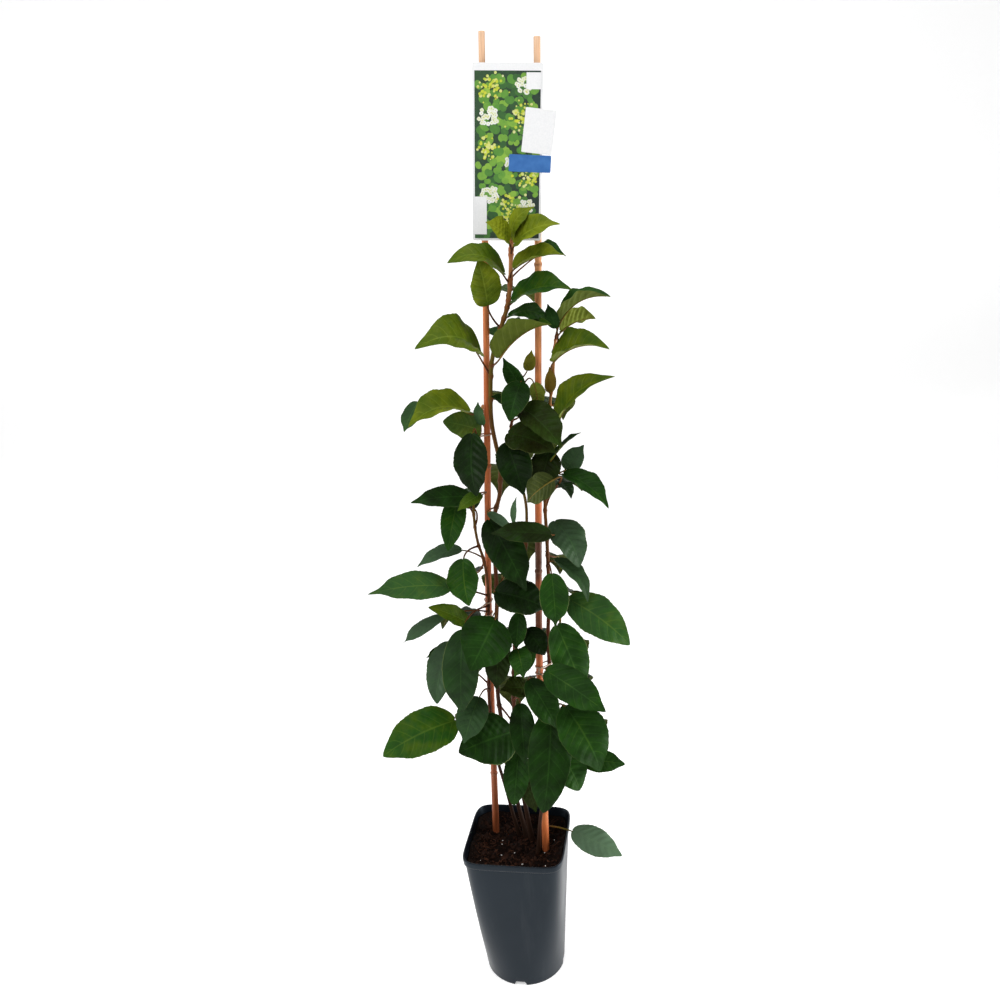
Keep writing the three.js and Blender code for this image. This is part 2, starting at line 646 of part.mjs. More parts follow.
// A thin upright card whose front faces -Y, turned in its own plane
function card({ centre, width, height, front, lean }, thickness) {
  const geometry = new THREE.BoxGeometry(width, thickness, height);
  geometry.rotateY(THREE.MathUtils.degToRad(lean));
  geometry.translate(centre[0], front + thickness / 2, centre[1]);
  return geometry;
}

function label() {
  let solid = toManifold(card(labelCard, labelThickness));
  strapHeights.forEach((height) => {
    const left = pointAt(canes.cane_left.line, height);
    const right = pointAt(canes.cane_right.line, height);
    const reach = canes.cane_right.radius[1] + strapGap;
    const inner = [left.x - reach, right.x + reach, Math.max(left.y, right.y) + reach];
    const block = (grow, front, tall) => {
      const [x0, x1, back] = [inner[0] - grow, inner[1] + grow, inner[2] + grow];
      const box = new THREE.BoxGeometry(x1 - x0, back - front, tall);
      box.translate((x0 + x1) / 2, (front + back) / 2, height);
      return toManifold(box);
    };
    const front = labelCard.front + labelThickness / 2;
    const inside = block(0, front - 1, 2 * strapHeight);
    solid = solid.add(block(strapThickness, front, strapHeight).subtract(inside));
  });
  return fromManifold(solid);
}

function add(group, name, geometry, colour, roughness) {
  const material = new THREE.MeshStandardMaterial({ color: colour, roughness, metalness: 0 });
  const mesh = new THREE.Mesh(geometry, material);
  mesh.name = name;
  group.add(mesh);
}

const plant = new THREE.Group();
add(plant, 'pot', pot(), colours.pot, 0.45);
add(plant, 'soil', soil(), colours.soil, 0.95);
Object.entries(canes).forEach(([name, size]) => add(plant, name, cane(size), colours.cane, 0.6));
Object.entries(stems).forEach(([name, size]) => add(plant, name, leafyStem(size), colours.leafyStem, 0.5));
Object.entries(ties).forEach(([name, size]) => add(plant, name, tie(size), colours.tie, 0.7));
add(plant, 'label', label(), colours.label, 0.35);
add(plant, 'tag_card', card(tagCard, tagThickness), colours.tagCard, 0.5);
add(plant, 'tag_band', card(tagBand, tagThickness), colours.tagBand, 0.5);

export default plant;
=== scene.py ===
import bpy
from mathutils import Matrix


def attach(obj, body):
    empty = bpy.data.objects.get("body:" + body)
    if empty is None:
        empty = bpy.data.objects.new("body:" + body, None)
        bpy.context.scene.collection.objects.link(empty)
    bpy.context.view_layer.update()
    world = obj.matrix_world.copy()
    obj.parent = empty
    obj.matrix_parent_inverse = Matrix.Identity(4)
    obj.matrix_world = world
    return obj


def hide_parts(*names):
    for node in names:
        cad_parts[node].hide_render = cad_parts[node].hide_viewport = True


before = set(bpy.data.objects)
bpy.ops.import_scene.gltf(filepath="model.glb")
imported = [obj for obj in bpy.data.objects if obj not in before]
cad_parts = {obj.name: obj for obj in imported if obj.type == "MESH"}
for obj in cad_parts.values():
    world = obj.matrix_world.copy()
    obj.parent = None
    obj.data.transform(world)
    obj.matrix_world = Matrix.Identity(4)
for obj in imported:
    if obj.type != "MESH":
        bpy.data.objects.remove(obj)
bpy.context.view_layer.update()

import math
import bpy
import numpy as np
from mathutils import Matrix

mm = 0.001
rng = np.random.default_rng(27)
toFront = np.array([0, -1.0, 0])
print("frame loaded")


# Puts new data into the scene, at the origin
def addObject(name, data):
    thing = bpy.data.objects.new(name, data)
    bpy.context.scene.collection.objects.link(thing)
    return thing


# Camera at the photograph's viewing angle: tipped down from level by the pitch, then rolled
camera = dict(place=(6.9, -1030.5, 930.0), pitch=17.5, roll=4.0, lens=36, sensorWidth=36)
cameraData = bpy.data.cameras.new("viewOfPlant")
cameraData.lens, cameraData.sensor_width = camera["lens"], camera["sensorWidth"]
cameraObject = addObject("viewOfPlant", cameraData)
cameraObject.matrix_world = (Matrix.Translation([mm * v for v in camera["place"]])
                             @ Matrix.Rotation(math.radians(90 - camera["pitch"]), 4, "X")
                             @ Matrix.Rotation(math.radians(-camera["roll"]), 4, "Z"))
bpy.context.scene.camera = cameraObject


# A mesh object from a skin, which is points in mm, triangles and, where the materials need them, shades:
# named arrays with a number for every point
def meshPiece(name, skin, materials, smooth=True):
    points, triangles, *shades = skin
    mesh = bpy.data.meshes.new(name)
    mesh.from_pydata((points * mm).tolist(), [], triangles.tolist(), shade_flat=not smooth)
    for label, values in (shades[0] if shades else {}).items():
        mesh.attributes.new(label, "FLOAT", "POINT").data.foreach_set("value", values.astype(np.float32))
    for material in materials:
        mesh.materials.append(material)
    return addObject(name, mesh)


# A piece of the plant: it rides on the one body and stands for its solids
def dress(name, slot, nodes, skin, *materials, smooth=True):
    piece = meshPiece(name, skin, materials, smooth)
    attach(piece, "root")
    if nodes:
        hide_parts(*nodes)
    return piece


# Vectors divided by their own lengths
def unit(vectors):
    return vectors / np.linalg.norm(vectors, axis=-1, keepdims=True)


# Angles all the way round, the last one short of the first
def roundAngles(count):
    return 2 * np.pi * np.arange(count) / count


# Directions [cos, sin, 0] at given angles
def compass(angles):
    return np.stack([np.cos(angles), np.sin(angles), 0 * angles], -1)


# Triangles of a grid of rows by columns, each cell cut in two; wrapped joins the last column to the first
def gridTriangles(rows, columns, wrapped=False):
    cell = np.arange(columns if wrapped else columns - 1)
    low = np.arange(rows - 1)[:, None] * columns
    a, b = low + cell, low + (cell + 1) % columns
    c, d = b + columns, a + columns
    return np.stack([np.stack([a, b, c], -1), np.stack([a, c, d], -1)], -2).reshape(-1, 3)


# Rings around an axis become a closed skin: the grid between them, and a fan to a middle point at each end
def closedRings(rings):
    rows, columns = rings.shape[:2]
    points = np.concatenate([rings.reshape(-1, 3), rings[:1].mean(1), rings[-1:].mean(1)])
    here = np.arange(columns)
    after = (here + 1) % columns
    middle = np.full(columns, rows * columns)
    top = middle - columns
    fans = [np.stack([middle, after, here], -1), np.stack([middle + 1, top + here, top + after], -1)]
    return points, np.concatenate([gridTriangles(rows, columns, True), *fans])


# A closed tube: circles of the given radii along a path and square to it, starting towards the guide
def tube(path, radii, sides, guide):
    along = unit(np.gradient(path, axis=0))
    first = unit(guide - (along @ guide)[:, None] * along)
    second = np.cross(along, first)
    x, y, _ = compass(roundAngles(sides)).T[..., None]
    circles = x * first[:, None] + y * second[:, None]
    return closedRings(path[:, None] + np.reshape(radii, (-1, 1, 1)) * circles)


# Several skins as one: their points end to end, their triangles counted on
def together(skins):
    starts = np.cumsum([0] + [len(skin[0]) for skin in skins[:-1]])
    triangles = [skin[1] + start for skin, start in zip(skins, starts)]
    return np.concatenate([skin[0] for skin in skins]), np.concatenate(triangles)


# Many skins of one kind: a row of points for each, and the triangles of one counted on
def copies(points, triangles):
    starts = np.arange(len(points)) * points.shape[1]
    return points.reshape(-1, 3), (triangles + starts[:, None, None]).reshape(-1, 3)


# Smooth curve through points of [height, x, y], read at any heights: a cubic from each point to the
# next, its slope at a point that of the straight line between the point's neighbours
def pointsAt(line, heights):
    line, heights = np.array(line, float), np.atleast_1d(np.asarray(heights, float))
    z = line[:, 0]
    slope = np.gradient(line, axis=0) / np.gradient(z)[:, None]
    i = np.clip(np.searchsorted(z, heights) - 1, 0, len(z) - 2)
    span = (z[i + 1] - z[i])[:, None]
    u = (heights - z[i])[:, None] / span
    place = (line[i] * (1 + 2 * u) * (1 - u) ** 2 + line[i + 1] * u * u * (3 - 2 * u)
             + span * (slope[i] * u * (1 - u) ** 2 + slope[i + 1] * u * u * (u - 1)))
    return np.column_stack([place[:, 1:], heights])


# Radius at a height of a cane or stem: an even taper from its lowest point to its highest
def radiusAt(thing, height):
    low, high = thing["line"][0][0], thing["line"][-1][0]
    return thing["radius"][0] + (thing["radius"][1] - thing["radius"][0]) * (height - low) / (high - low)


socketNames = dict(colour="Base Color", roughness="Roughness", normal="Normal", coat="Coat Weight",
                   coatRoughness="Coat Roughness", sheen="Sheen Weight", specular="Specular IOR Level",
                   specularTint="Specular Tint", glow="Emission Strength", glowColour="Emission Color")


# A material in the making. Each method adds a node and gives its output, and where a node needs a
# value it takes a number, a colour or the output of another
class Finish:
    def __init__(self, name, **values):
        self.material = bpy.data.materials.new(name)
        self.material.use_nodes = True
        self.tree = self.material.node_tree
        self.shade(**values)

    def feed(self, node, inputs):
        for socket, value in inputs.items():
            if isinstance(value, bpy.types.NodeSocket):
                self.tree.links.new(value, node.inputs[socket])
            else:
                node.inputs[socket].default_value = value

    # Values and patterns go straight onto the shader's own sockets
    def shade(self, **values):
        shader = self.tree.nodes["Principled BSDF"]
        self.feed(shader, {socketNames[name]: value for name, value in values.items()})
        return self.material

    def add(self, kind, inputs, output=0, **settings):
        node = self.tree.nodes.new("ShaderNode" + kind)
        for setting, value in settings.items():
            setattr(node, setting, value)
        self.feed(node, inputs)
        return node.outputs[output]

    def shadeOf(self, label):
        return self.add("Attribute", {}, "Fac", attribute_name=label)

    def maths(self, operation, *values, clamp=False):
        return self.add("Math", dict(enumerate(values)), operation=operation, use_clamp=clamp)

    def times(self, first, second, clamp=False):
        return self.maths("MULTIPLY", first, second, clamp=clamp)

    def plus(self, first, second):
        return self.maths("ADD", first, second)

    def minus(self, first, second):
        return self.maths("SUBTRACT", first, second)

    # A value that noise moves up and down: the value + (noise - 0.5) * amount
    def drift(self, value, noise, amount):
        return self.plus(value, self.times(self.minus(noise, 0.5), amount))

    # From the first of two values to the second, as another value goes from low to high
    def ranged(self, value, low, high, first, second, kind="LINEAR"):
        inputs = {"Value": value, "From Min": low, "From Max": high, "To Min": first, "To Max": second}
        return self.add("MapRange", inputs, interpolation_type=kind)

    # Colours by factor, each stop its position and the colour's red, green and blue
    def ramp(self, factor, *stops):
        colour = self.add("ValToRGB", {"Fac": factor})
        elements = colour.node.color_ramp.elements
        while len(elements) < len(stops):
            elements.new(0.5)
        for element, (position, *shade) in zip(elements, stops):
            element.position, element.color = position, (*shade, 1)
        return colour

    def mix(self, factor, first, second, blend="MIX"):
        first, second = ((*value, 1) if isinstance(value, tuple) else value for value in (first, second))
        return self.add("Mix", {0: factor, 6: first, 7: second}, 2, data_type="RGBA", blend_type=blend)

    # Noise on Object coordinates, stretched by a scale for each axis
    def noise(self, scale, detail, stretch=(1, 1, 1), roughness=0.5):
        place = self.add("Mapping", {"Vector": self.add("TexCoord", {}, "Object"), "Scale": stretch})
        return self.add("TexNoise", {"Vector": place, "Scale": scale, "Detail": detail,
                                     "Roughness": roughness})

    def bump(self, height, strength, distance):
        return self.add("Bump", {"Height": height, "Strength": strength, "Distance": distance})


# Pot: a square rim with round corners that blends down to a round foot; the lip's profile is pairs of
# distance in from the rim's outside and depth below its top
pot = dict(turn=-10.8, height=181, rimHalf=60, rimSquareness=7, footRadius=48, wall=1.6, floor=7.5,
           lipDepth=8, lipStep=1.4, sides=240, wallRows=26, innerRows=12, drains=4, drainWidth=13,
           drainHeight=5, drainReach=12, drainSlope=1.2, drainFade=8.0, squaring=1.3,
           edgeRows=[1.2, 3, 5, 8], wallFrom=14, innerFrom=150, innerTo=12,
           lip=[(0.9, 8), (0.4, 7.5), (0.3, 6), (0, 1.2), (0.15, 0.5), (0.5, 0.1), (0.9, 0), (1.5, 0),
                (1.9, 0.3), (2.1, 1)])


# Superellipse ring: reach at an angle is half / (|cos|^n + |sin|^n)^(1/n)
def potRing(half, squareness, height, angles):
    spread = np.abs(np.cos(angles)) ** squareness + np.abs(np.sin(angles)) ** squareness
    ring = compass(angles + math.radians(pot["turn"])) * (half / spread ** (1 / squareness))[:, None]
    ring[:, 2] = height
    return ring


# Wall at a height z: half width and squareness both grow with z towards the rim
def wallRing(height, inset, angles, lift=0):
    share = height / pot["height"]
    half = pot["footRadius"] + (pot["rimHalf"] - pot["lipStep"] - pot["footRadius"]) * share
    squareness = 2 + (pot["rimSquareness"] - 2) * share ** pot["squaring"]
    return potRing(half - inset, squareness, height + lift, angles)


# Pot as rings from the foot's middle, up the outside, over the lip and down the inside to the floor; the
# foot's edge is lifted at each drain by a notch with sloping sides, which fades out up the wall
def makePot():
    angles, foot, lipBottom = roundAngles(pot["sides"]), pot["footRadius"], pot["height"] - pot["lipDepth"]
    period = 2 * np.pi / pot["drains"]
    fromDrain = np.abs((angles + period / 2) % period - period / 2) * foot
    notch = np.clip((pot["drainWidth"] / 2 - fromDrain) / pot["drainSlope"] + 0.5, 0, 1) * pot["drainHeight"]
    inner = foot - pot["drainReach"]
    rings = [potRing(inner - 1, 2, 0, angles), potRing(inner, 2, notch, angles),
             wallRing(0, 1.4, angles, notch), wallRing(0.4, 0.4, angles, notch)]
    heights = [*pot["edgeRows"], *np.linspace(pot["wallFrom"], lipBottom - 1, pot["wallRows"])]
    rings += [wallRing(z, 0, angles, notch * max(0, 1 - z / pot["drainFade"])) for z in heights]
    rings.append(wallRing(lipBottom - 0.2, 0, angles))
    rings += [potRing(pot["rimHalf"] - inset, pot["rimSquareness"], pot["height"] - depth, angles)
              for inset, depth in pot["lip"]]
    inside = [lipBottom, *np.linspace(pot["innerFrom"], pot["innerTo"], pot["innerRows"])]
    rings += [wallRing(z, pot["wall"], angles) for z in inside]
    rings.append(wallRing(pot["floor"], pot["wall"] + 2, angles))
    return closedRings(np.array(rings))


# Dark plastic: cloudy between two near-blacks, and dusty where the upright scuffs are strong
def plasticOfPot():
    plastic = Finish("mouldedPlastic", specular=0.24, specularTint=(0.66, 0.84, 1.0, 1))
    cloudy, scuffs = plastic.noise(14, 4), plastic.noise(60, 5, (1, 1, 0.12), 0.65)
    base = plastic.ramp(cloudy, (0.3, 0.0025, 0.0042, 0.0068), (0.7, 0.0048, 0.0074, 0.0112))
    dusty = plastic.ramp(scuffs, (0.55, 0, 0, 0), (0.8, 0.12, 0.12, 0.12))
    return plastic.shade(colour=plastic.mix(dusty, base, (0.075, 0.078, 0.082)),
                         roughness=plastic.ranged(cloudy, 0.3, 0.7, 0.3, 0.42),
                         normal=plastic.bump(plastic.noise(900, 2), 0.12, 0.0002))


dress("potShell", "pot", ["pot"], makePot(), plasticOfPot())
print("pot made")

# Soil: moist peat and bark with curled shreds and a few white grains
soil = dict(bottom=8.2, gap=0.4, edge=166, top=164, bumps=3, ripples=0.055, bank=8, bankPower=6, rows=54,
            sides=180, crumbs=900, chunks=110, shreds=190, grains=14)
waveTurns = rng.uniform(0, 2 * np.pi, (18, 2))
waveLengths = rng.uniform(2.2, 7.5, 18)


# Height of the soil's top: three broad crossing waves and eighteen short ones of random direction
def soilHeight(x, y):
    broad = (np.sin(x / 9 + 1) * np.cos(y / 8) + 0.6 * np.sin(x / 5 - y / 6)
             + 0.5 * np.cos(y / 4.3 + x / 11))
    across = x[..., None] * np.cos(waveTurns[:, 0]) + y[..., None] * np.sin(waveTurns[:, 0])
    short = (np.sin(across / waveLengths * 2 + waveTurns[:, 1]) * waveLengths).sum(-1)
    return soil["top"] + soil["bumps"] * broad / 2 + soil["ripples"] * short


# Soil inside the wall: rings up the sides, then shrinking rings over the top, banked up by a high power
# of their share of the way out
def makeSoil():
    angles, inset = roundAngles(soil["sides"]), pot["wall"] + soil["gap"]
    sides = [wallRing(z, inset, angles) for z in np.linspace(soil["bottom"], soil["edge"] - 2, 10)]
    shares = np.linspace(1, 0.02, soil["rows"])[:, None]
    top = wallRing(soil["edge"], inset, angles) * shares[..., None]
    top[..., 2] = soilHeight(top[..., 0], top[..., 1]) + soil["bank"] * shares ** soil["bankPower"]
    return closedRings(np.concatenate([sides, top]))


# Places on the soil inside the pot, drawn at random, evenly by area, and a little above its top
def soilPlaces(count, margin, above):
    wall = wallRing(soil["edge"], pot["wall"] + margin, rng.uniform(0, 2 * np.pi, count))[:, :2]
    share = np.sqrt(rng.uniform(0, 1, count))
    x, y = wall.T * share
    out = share * (1 - margin / np.linalg.norm(wall, axis=1))
    return np.column_stack([x, y, soilHeight(x, y) + soil["bank"] * out ** soil["bankPower"] + above])


# Turns by many angles from the first axis towards the second, one 3 x 3 matrix each
def turns(first, second, angles):
    matrices = np.tile(np.eye(3), (len(angles), 1, 1))
    matrices[:, first, first] = matrices[:, second, second] = np.cos(angles)
    matrices[:, second, first] = np.sin(angles)
    matrices[:, first, second] = -np.sin(angles)
    return matrices


# Copies of shapes in their places, each spun, leaned by about the tilt and turned at random
def strewn(shapes, triangles, places, tilt):
    spin = turns(0, 1, rng.uniform(0, 2 * np.pi, len(places)))
    lean = turns(1, 2, rng.normal(0, tilt, len(places)))
    way = turns(0, 1, rng.uniform(0, 2 * np.pi, len(places)))
    return copies(shapes @ (way @ lean @ spin).transpose(0, 2, 1) + places[:, None], triangles)


golden = (1 + 5 ** 0.5) / 2
lumpPoints = np.array([[-1, golden, 0], [1, golden, 0], [-1, -golden, 0], [1, -golden, 0], [0, -1, golden],
                       [0, 1, golden], [0, -1, -golden], [0, 1, -golden], [golden, 0, -1], [golden, 0, 1],
                       [-golden, 0, -1], [-golden, 0, 1]]) / golden
lumpFaces = np.array([[0, 11, 5], [0, 5, 1], [0, 1, 7], [0, 7, 10], [0, 10, 11], [1, 5, 9], [5, 11, 4],
                      [11, 10, 2], [10, 7, 6], [7, 1, 8], [3, 9, 4], [3, 4, 2], [3, 2, 6], [3, 6, 8],
                      [3, 8, 9], [4, 9, 5], [2, 4, 11], [6, 2, 10], [8, 6, 7], [9, 8, 1]])


# Twelve-cornered lumps, each with its own three sizes and dents
def lumps(places, low, high, tilt):
    sizes = rng.uniform(low, high, (len(places), 1, 3)) / 2
    dents = rng.uniform(0.72, 1.25, (len(places), len(lumpPoints), 1))
    return strewn(lumpPoints * dents * sizes, lumpFaces, places, tilt)


# Curled shreds of bark: a four-sided strip bent along part of a circle, thinner towards both ends
def shreds(places, stations=7):
    count, run = len(places), np.linspace(-1, 1, stations)
    arc, length = rng.uniform(0.5, 1.5, (count, 1)), rng.uniform(3.5, 10, (count, 1))
    thick, wide = rng.uniform(0.25, 0.5, (count, 1, 1)), rng.uniform(0.4, 1.1, (count, 1, 1))
    outward = compass(arc * run)[..., [1, 0, 2]]
    ends = compass(arc)[..., [2, 0, 2]]
    centre = (outward - ends) * (length / (2 * arc))[..., None]
    taper = (1 - 0.75 * np.abs(run) ** 3)[:, None]
    rings = np.stack([centre + taper * (a * thick * outward + b * wide * np.array([0, 0, 1.0]))
                      for a, b in [(1, 1), (-1, 1), (-1, -1), (1, -1)]], 2)
    end = np.array([[0, 2, 1], [0, 3, 2]])
    farEnd = end[:, [0, 2, 1]] + 4 * (stations - 1)
    triangles = np.concatenate([gridTriangles(stations, 4, True), end, farEnd])
    return strewn(rings.reshape(count, -1, 3), triangles, places, 0.9)


# Crumbly matter: noise picks between a dark and a light colour, and wider noise between matt and wet
def earth(name, scale, wet, dark, light):
    ground = Finish(name, specular=0.06)
    crumbly = ground.noise(scale, 6, roughness=0.7)
    return ground.shade(colour=ground.ramp(crumbly, (0.32, *dark), (0.72, *light)),
                        roughness=ground.ranged(ground.noise(scale / 3, 3), 0.4, 0.7, 0.95, wet),
                        normal=ground.bump(crumbly, 0.7, 0.0012))


peat = earth("moistPeat", 420, 0.5, (0.0022, 0.0013, 0.0010), (0.013, 0.006, 0.004))
bark = earth("barkCrumb", 60, 0.35, (0.004, 0.002, 0.0014), (0.035, 0.013, 0.007))
shredBark = earth("barkShred", 90, 0.45, (0.012, 0.005, 0.0035), (0.090, 0.036, 0.020))
perlite = earth("perlite", 900, 0.8, (0.55, 0.53, 0.50), (0.80, 0.79, 0.77))
dress("pottingSoil", "soil", ["soil"], makeSoil(), peat)
crumbs = lumps(soilPlaces(soil["crumbs"], 3, 0.3), (1.4, 1.0, 0.6), (4.6, 3.0, 1.8), 0.35)
dress("barkCrumbs", "soil", [], crumbs, bark, smooth=False)
chunks = lumps(soilPlaces(soil["chunks"], 7, 0.9), (4.0, 2.6, 1.2), (8.5, 5.0, 3.0), 0.5)
dress("barkChunks", "soil", [], chunks, bark, smooth=False)
dress("barkShreds", "soil", [], shreds(soilPlaces(soil["shreds"], 7, 1.2)), shredBark)
grains = lumps(soilPlaces(soil["grains"], 5, 1.0), (1.2, 1.2, 1.0), (2.4, 2.2, 1.8), 1)
dress("perliteGrains", "soil", [], grains, perlite)
print("soil made")

# Canes: [height, x, y] of the centre line, the radius at its two ends, the heights of the knots, and
# [height, weathering and shade] from 0, dark, to 1, bleached. The low values are painted shade where the
# cane stands in the plant's shade, and the highest ones are partly painted light
canes = {
    "caneLeft": dict(node="cane_left", radius=(4.1, 3.1), knots=[250, 452, 640, 815, 960], line=[
        [52, -31, 36], [166, -26.6, 32], [466, -14.8, 20], [600, -6.6, 15], [816, 6.6, 8], [1069, 20.4, 6]],
        # the low values up to 300 are painted shade at the foot of the cane
        weathering=[[160, 0.16], [240, 0.16], [300, 0.25], [420, 0.35], [640, 0.45], [830, 0.55], [980, 0.85],
                    [1069, 1]]),
    "caneRight": dict(node="cane_right", radius=(4.2, 3.3), knots=[318, 520, 706, 850, 1010], line=[
        [14, 26, -18], [166, 32.6, -11.5], [405, 38.6, -3], [595, 47.9, 0], [854, 62.2, 5], [1061, 72.6, 6]],
        # the dips to 0.1 and 0.05 between 435 and 556 are painted shade where leaves hang in front of the
        # cane
        weathering=[[160, 0.25], [178, 0.42], [210, 0.52], [300, 0.48], [415, 0.4], [435, 0.1], [468, 0.1],
                    [485, 0.4], [505, 0.3], [520, 0.05], [556, 0.05], [575, 0.45], [600, 0.5], [760, 0.6],
                    [850, 0.78], [1061, 1]]),
}
caneSurface = dict(sides=28, step=4.0, knotRise=0.75, knotWidth=1.7, knotReach=7, knotRows=22,
                   grooveDepth=0.35, grooveAbove=3.2, grooveWidth=1.1, topEdge=0.4, ripple=0.025,
                   hollow=0.45, hollowFloor=0.36, hollowDepth=2.5)


# Cane: the radius is an even taper, plus a rounded ring at each knot, less a shallow groove just above
# it; the skin ripples by lengthwise waves, and a hollow is sunk into the cut top
def makeCane(cane):
    surface, sides = caneSurface, caneSurface["sides"]
    low, high = cane["line"][0][0], cane["line"][-1][0]
    near = np.linspace(-surface["knotReach"], surface["knotReach"], surface["knotRows"])
    rows = [np.arange(low, high, surface["step"]), *(knot + near for knot in cane["knots"])]
    heights = np.unique(np.round(np.concatenate([*rows, [high - surface["topEdge"], high]]), 2))
    above = heights - np.array(cane["knots"])[:, None]
    knot = np.exp(-(above / surface["knotWidth"]) ** 2).sum(0)
    groove = np.exp(-((above - surface["grooveAbove"]) / surface["grooveWidth"]) ** 2).sum(0)
    radii = radiusAt(cane, heights) + surface["knotRise"] * knot - surface["grooveDepth"] * groove
    radii[-1] -= surface["topEdge"]
    path = pointsAt(cane["line"], heights)
    wave = np.sin(heights[:, None] / 37 + 2 * roundAngles(sides)).reshape(-1, 1)
    points, _ = tube(path, radii, sides, toFront)
    rings = points[:-2] + surface["ripple"] * wave * (points[:-2] - np.repeat(path, sides, 0))
    middle, top = path[-1], rings[-sides:]
    sunk = middle + (top - middle) * surface["hollowFloor"] - [0, 0, surface["hollowDepth"]]
    rings = np.concatenate([rings, middle + (top - middle) * surface["hollow"], sunk])
    points, triangles = closedRings(rings.reshape(-1, sides, 3))
    cut = np.arange(len(points)) >= len(heights) * sides
    cut[-2] = False
    knotRing = np.concatenate([np.repeat(knot, sides), np.zeros(2 * sides + 2)])
    # weathering by height, with painted shade in its dips
    weathering = np.interp(points[:, 2], *np.transpose(cane["weathering"]))
    return points, triangles, dict(knotRing=knotRing, cutEnd=cut, weathering=weathering)


# Bamboo: colour by weathering and painted shade moved by blotches, times a grain of upright fibres, redder
# on the knots and pale where it was cut; the ramp's bright orange stop is partly painted light
def bamboo():
    skin = Finish("bambooSkin", specular=0.22)
    fibres, blotches = skin.noise(700, 4, (1, 1, 0.03), 0.6), skin.noise(26, 4, (1, 1, 0.5))
    colour = skin.ramp(skin.drift(skin.shadeOf("weathering"), blotches, 0.3), (0.0, 0.060, 0.022, 0.010),
                       (0.3, 0.34, 0.088, 0.028), (0.5, 0.50, 0.135, 0.038), (0.75, 0.78, 0.36, 0.150),
                       (1.0, 0.74, 0.52, 0.36))
    grain = skin.ramp(fibres, (0.25, 0.70, 0.66, 0.62), (0.75, 1.12, 1.10, 1.08))
    colour = skin.mix(1.0, colour, grain, "MULTIPLY")
    colour = skin.mix(skin.times(skin.shadeOf("knotRing"), 0.55), colour, (0.20, 0.085, 0.045))
    colour = skin.mix(skin.shadeOf("cutEnd"), colour, (0.62, 0.46, 0.30))
    return skin.shade(colour=colour, roughness=skin.ranged(blotches, 0.3, 0.7, 0.38, 0.58),
                      normal=skin.bump(fibres, 0.35, 0.0004))


bambooSkin = bamboo()
for name, cane in canes.items():
    dress(name, "cane", [cane["node"]], makeCane(cane), bambooSkin)
print("canes made")

# Leafy stems: [height, x, y] of the centre line and the radius at soil and tip. A leaf is [height where
# its petiole leaves the stem, blade base x, y, z, blade tip x, y, z, width, heading and upward tilt of its
# upper face in degrees, arch in percent of its length, fold of each half in degrees, a tone from 0 for
# a young bright leaf to 1 for an old dark one, where the darkest values on leaves deep inside the plant
# are painted shade, a bloom: 1 blue-grey, partly the leaf's colour and partly a painted bluish sheen, 0
# none, -1 a red-brown flush, and how drawn out the tip is: 0 blunt, 1 a long point]. Heading 0 faces the
# front and 90 faces right. A row that stops early has the usual bloom and tip.
stems = {}
stems["leafyStemLeft"] = dict(node="vine_left", radius=[2.5, 2.2], line=[
    [150, 12, 18], [209, 4, 19], [258, -6, 20], [307, -9, 18], [356, -11, 15], [421, -9, 13],
    [484, -5, 11], [533, -3, 9], [569, -2, 8], [589, 1, 8], [607, 7, 7], [625, 9, 7], [646, 9, 6],
    [666, 6, 6], [687, 4, 5], [709, 4, 4], [738, 6, 3], [760, 10, 2], [791, 21, 0], [812, 28, -2],
    [841, 33, -3], [876, 36, -4],
], leaves=[
    [875, 37, -6, 879, 60, -16, 907, 22, -60, 10, 24, 10, 0.14],
    [867, 33, -18, 877, 12, -30, 896, 32, 10, 48, 10, 20, 0.05],
    [862, 40, -16, 874, 83, -34, 890, 34, 5, 48, 14, 24, 0.1],
    [838, 38, -14, 850, 88, -30, 860, 33, 5, 62, 11, 34, 0.15, 0, 0.8],
    [838, 59, 24, 856, 92, 22, 855, 27, 10, 60, 22, 30, 0.7],
    [833, 25, -12, 846, -28, -26, 861, 36, -5, 55, 26, 20, 0.3, 0, 0],
    [817, 30, 6, 825, 58, 46, 810, 42, 150, 52, 14, 18, 0.5],
    [810, 35, -12, 818, 91, -36, 828, 42, 0, 58, 14, 26, 0.52, 0, 0.3],
    [799, 30, -4, 802, 71, -12, 790, 30, 0, 68, 24, 12, 0.62, 0, 0.3],
    [789, 8, -14, 817, 2, -28, 861, 36, 20, 10, 5, 20, 0.2, 0, 0.05],
    [777, 24, 8, 783, 28, 52, 771, 42, -165, 38, 24, 12, 0.6],
    [751, 17, -14, 762, 69, -36, 796, 56, 180, 84, 10, 44, 0.5, 0, 0.1],
    [740, -5, -6, 766, -66, -40, 782, 55, 5, 52, 26, 25, 0.29, 0, 0.3],
    [715, 18, 10, 720, 28, 52, 687, 42, 175, 52, 16, 16, 0.6],
    [625, 14, 18, 636, 7, 66, 587, 40, 170, 48, 22, 10, 0.8],
    [595, -6, -8, 593, 17, -26, 579, 13, 0, 50, 5, 30, 0.7, 0.45],
    [563, -5, -6, 582, 28, -40, 514, 42, 0, 38, 12, 12, 0.95],
    [502, -9, -28, 475, -37, -72, 441, 58, 15, 40, 10, 10, 0.8, 0, 0.2],
    [496, 5, 20, 510, 5, 70, 450, 48, -170, 34, 20, 12, 0.85],
    [434, -11, -8, 471, -22, -16, 444, 26, 0, 40, 10, 10, 0.85],
    [424, -1, 28, 423, -19, 80, 370, 44, -170, 36, 14, 16, 0.9],
    [349, 0, -12, 328, -59, -42, 325, 62, 5, 40, 8, 10, 0.8, 0, 0.2],
])
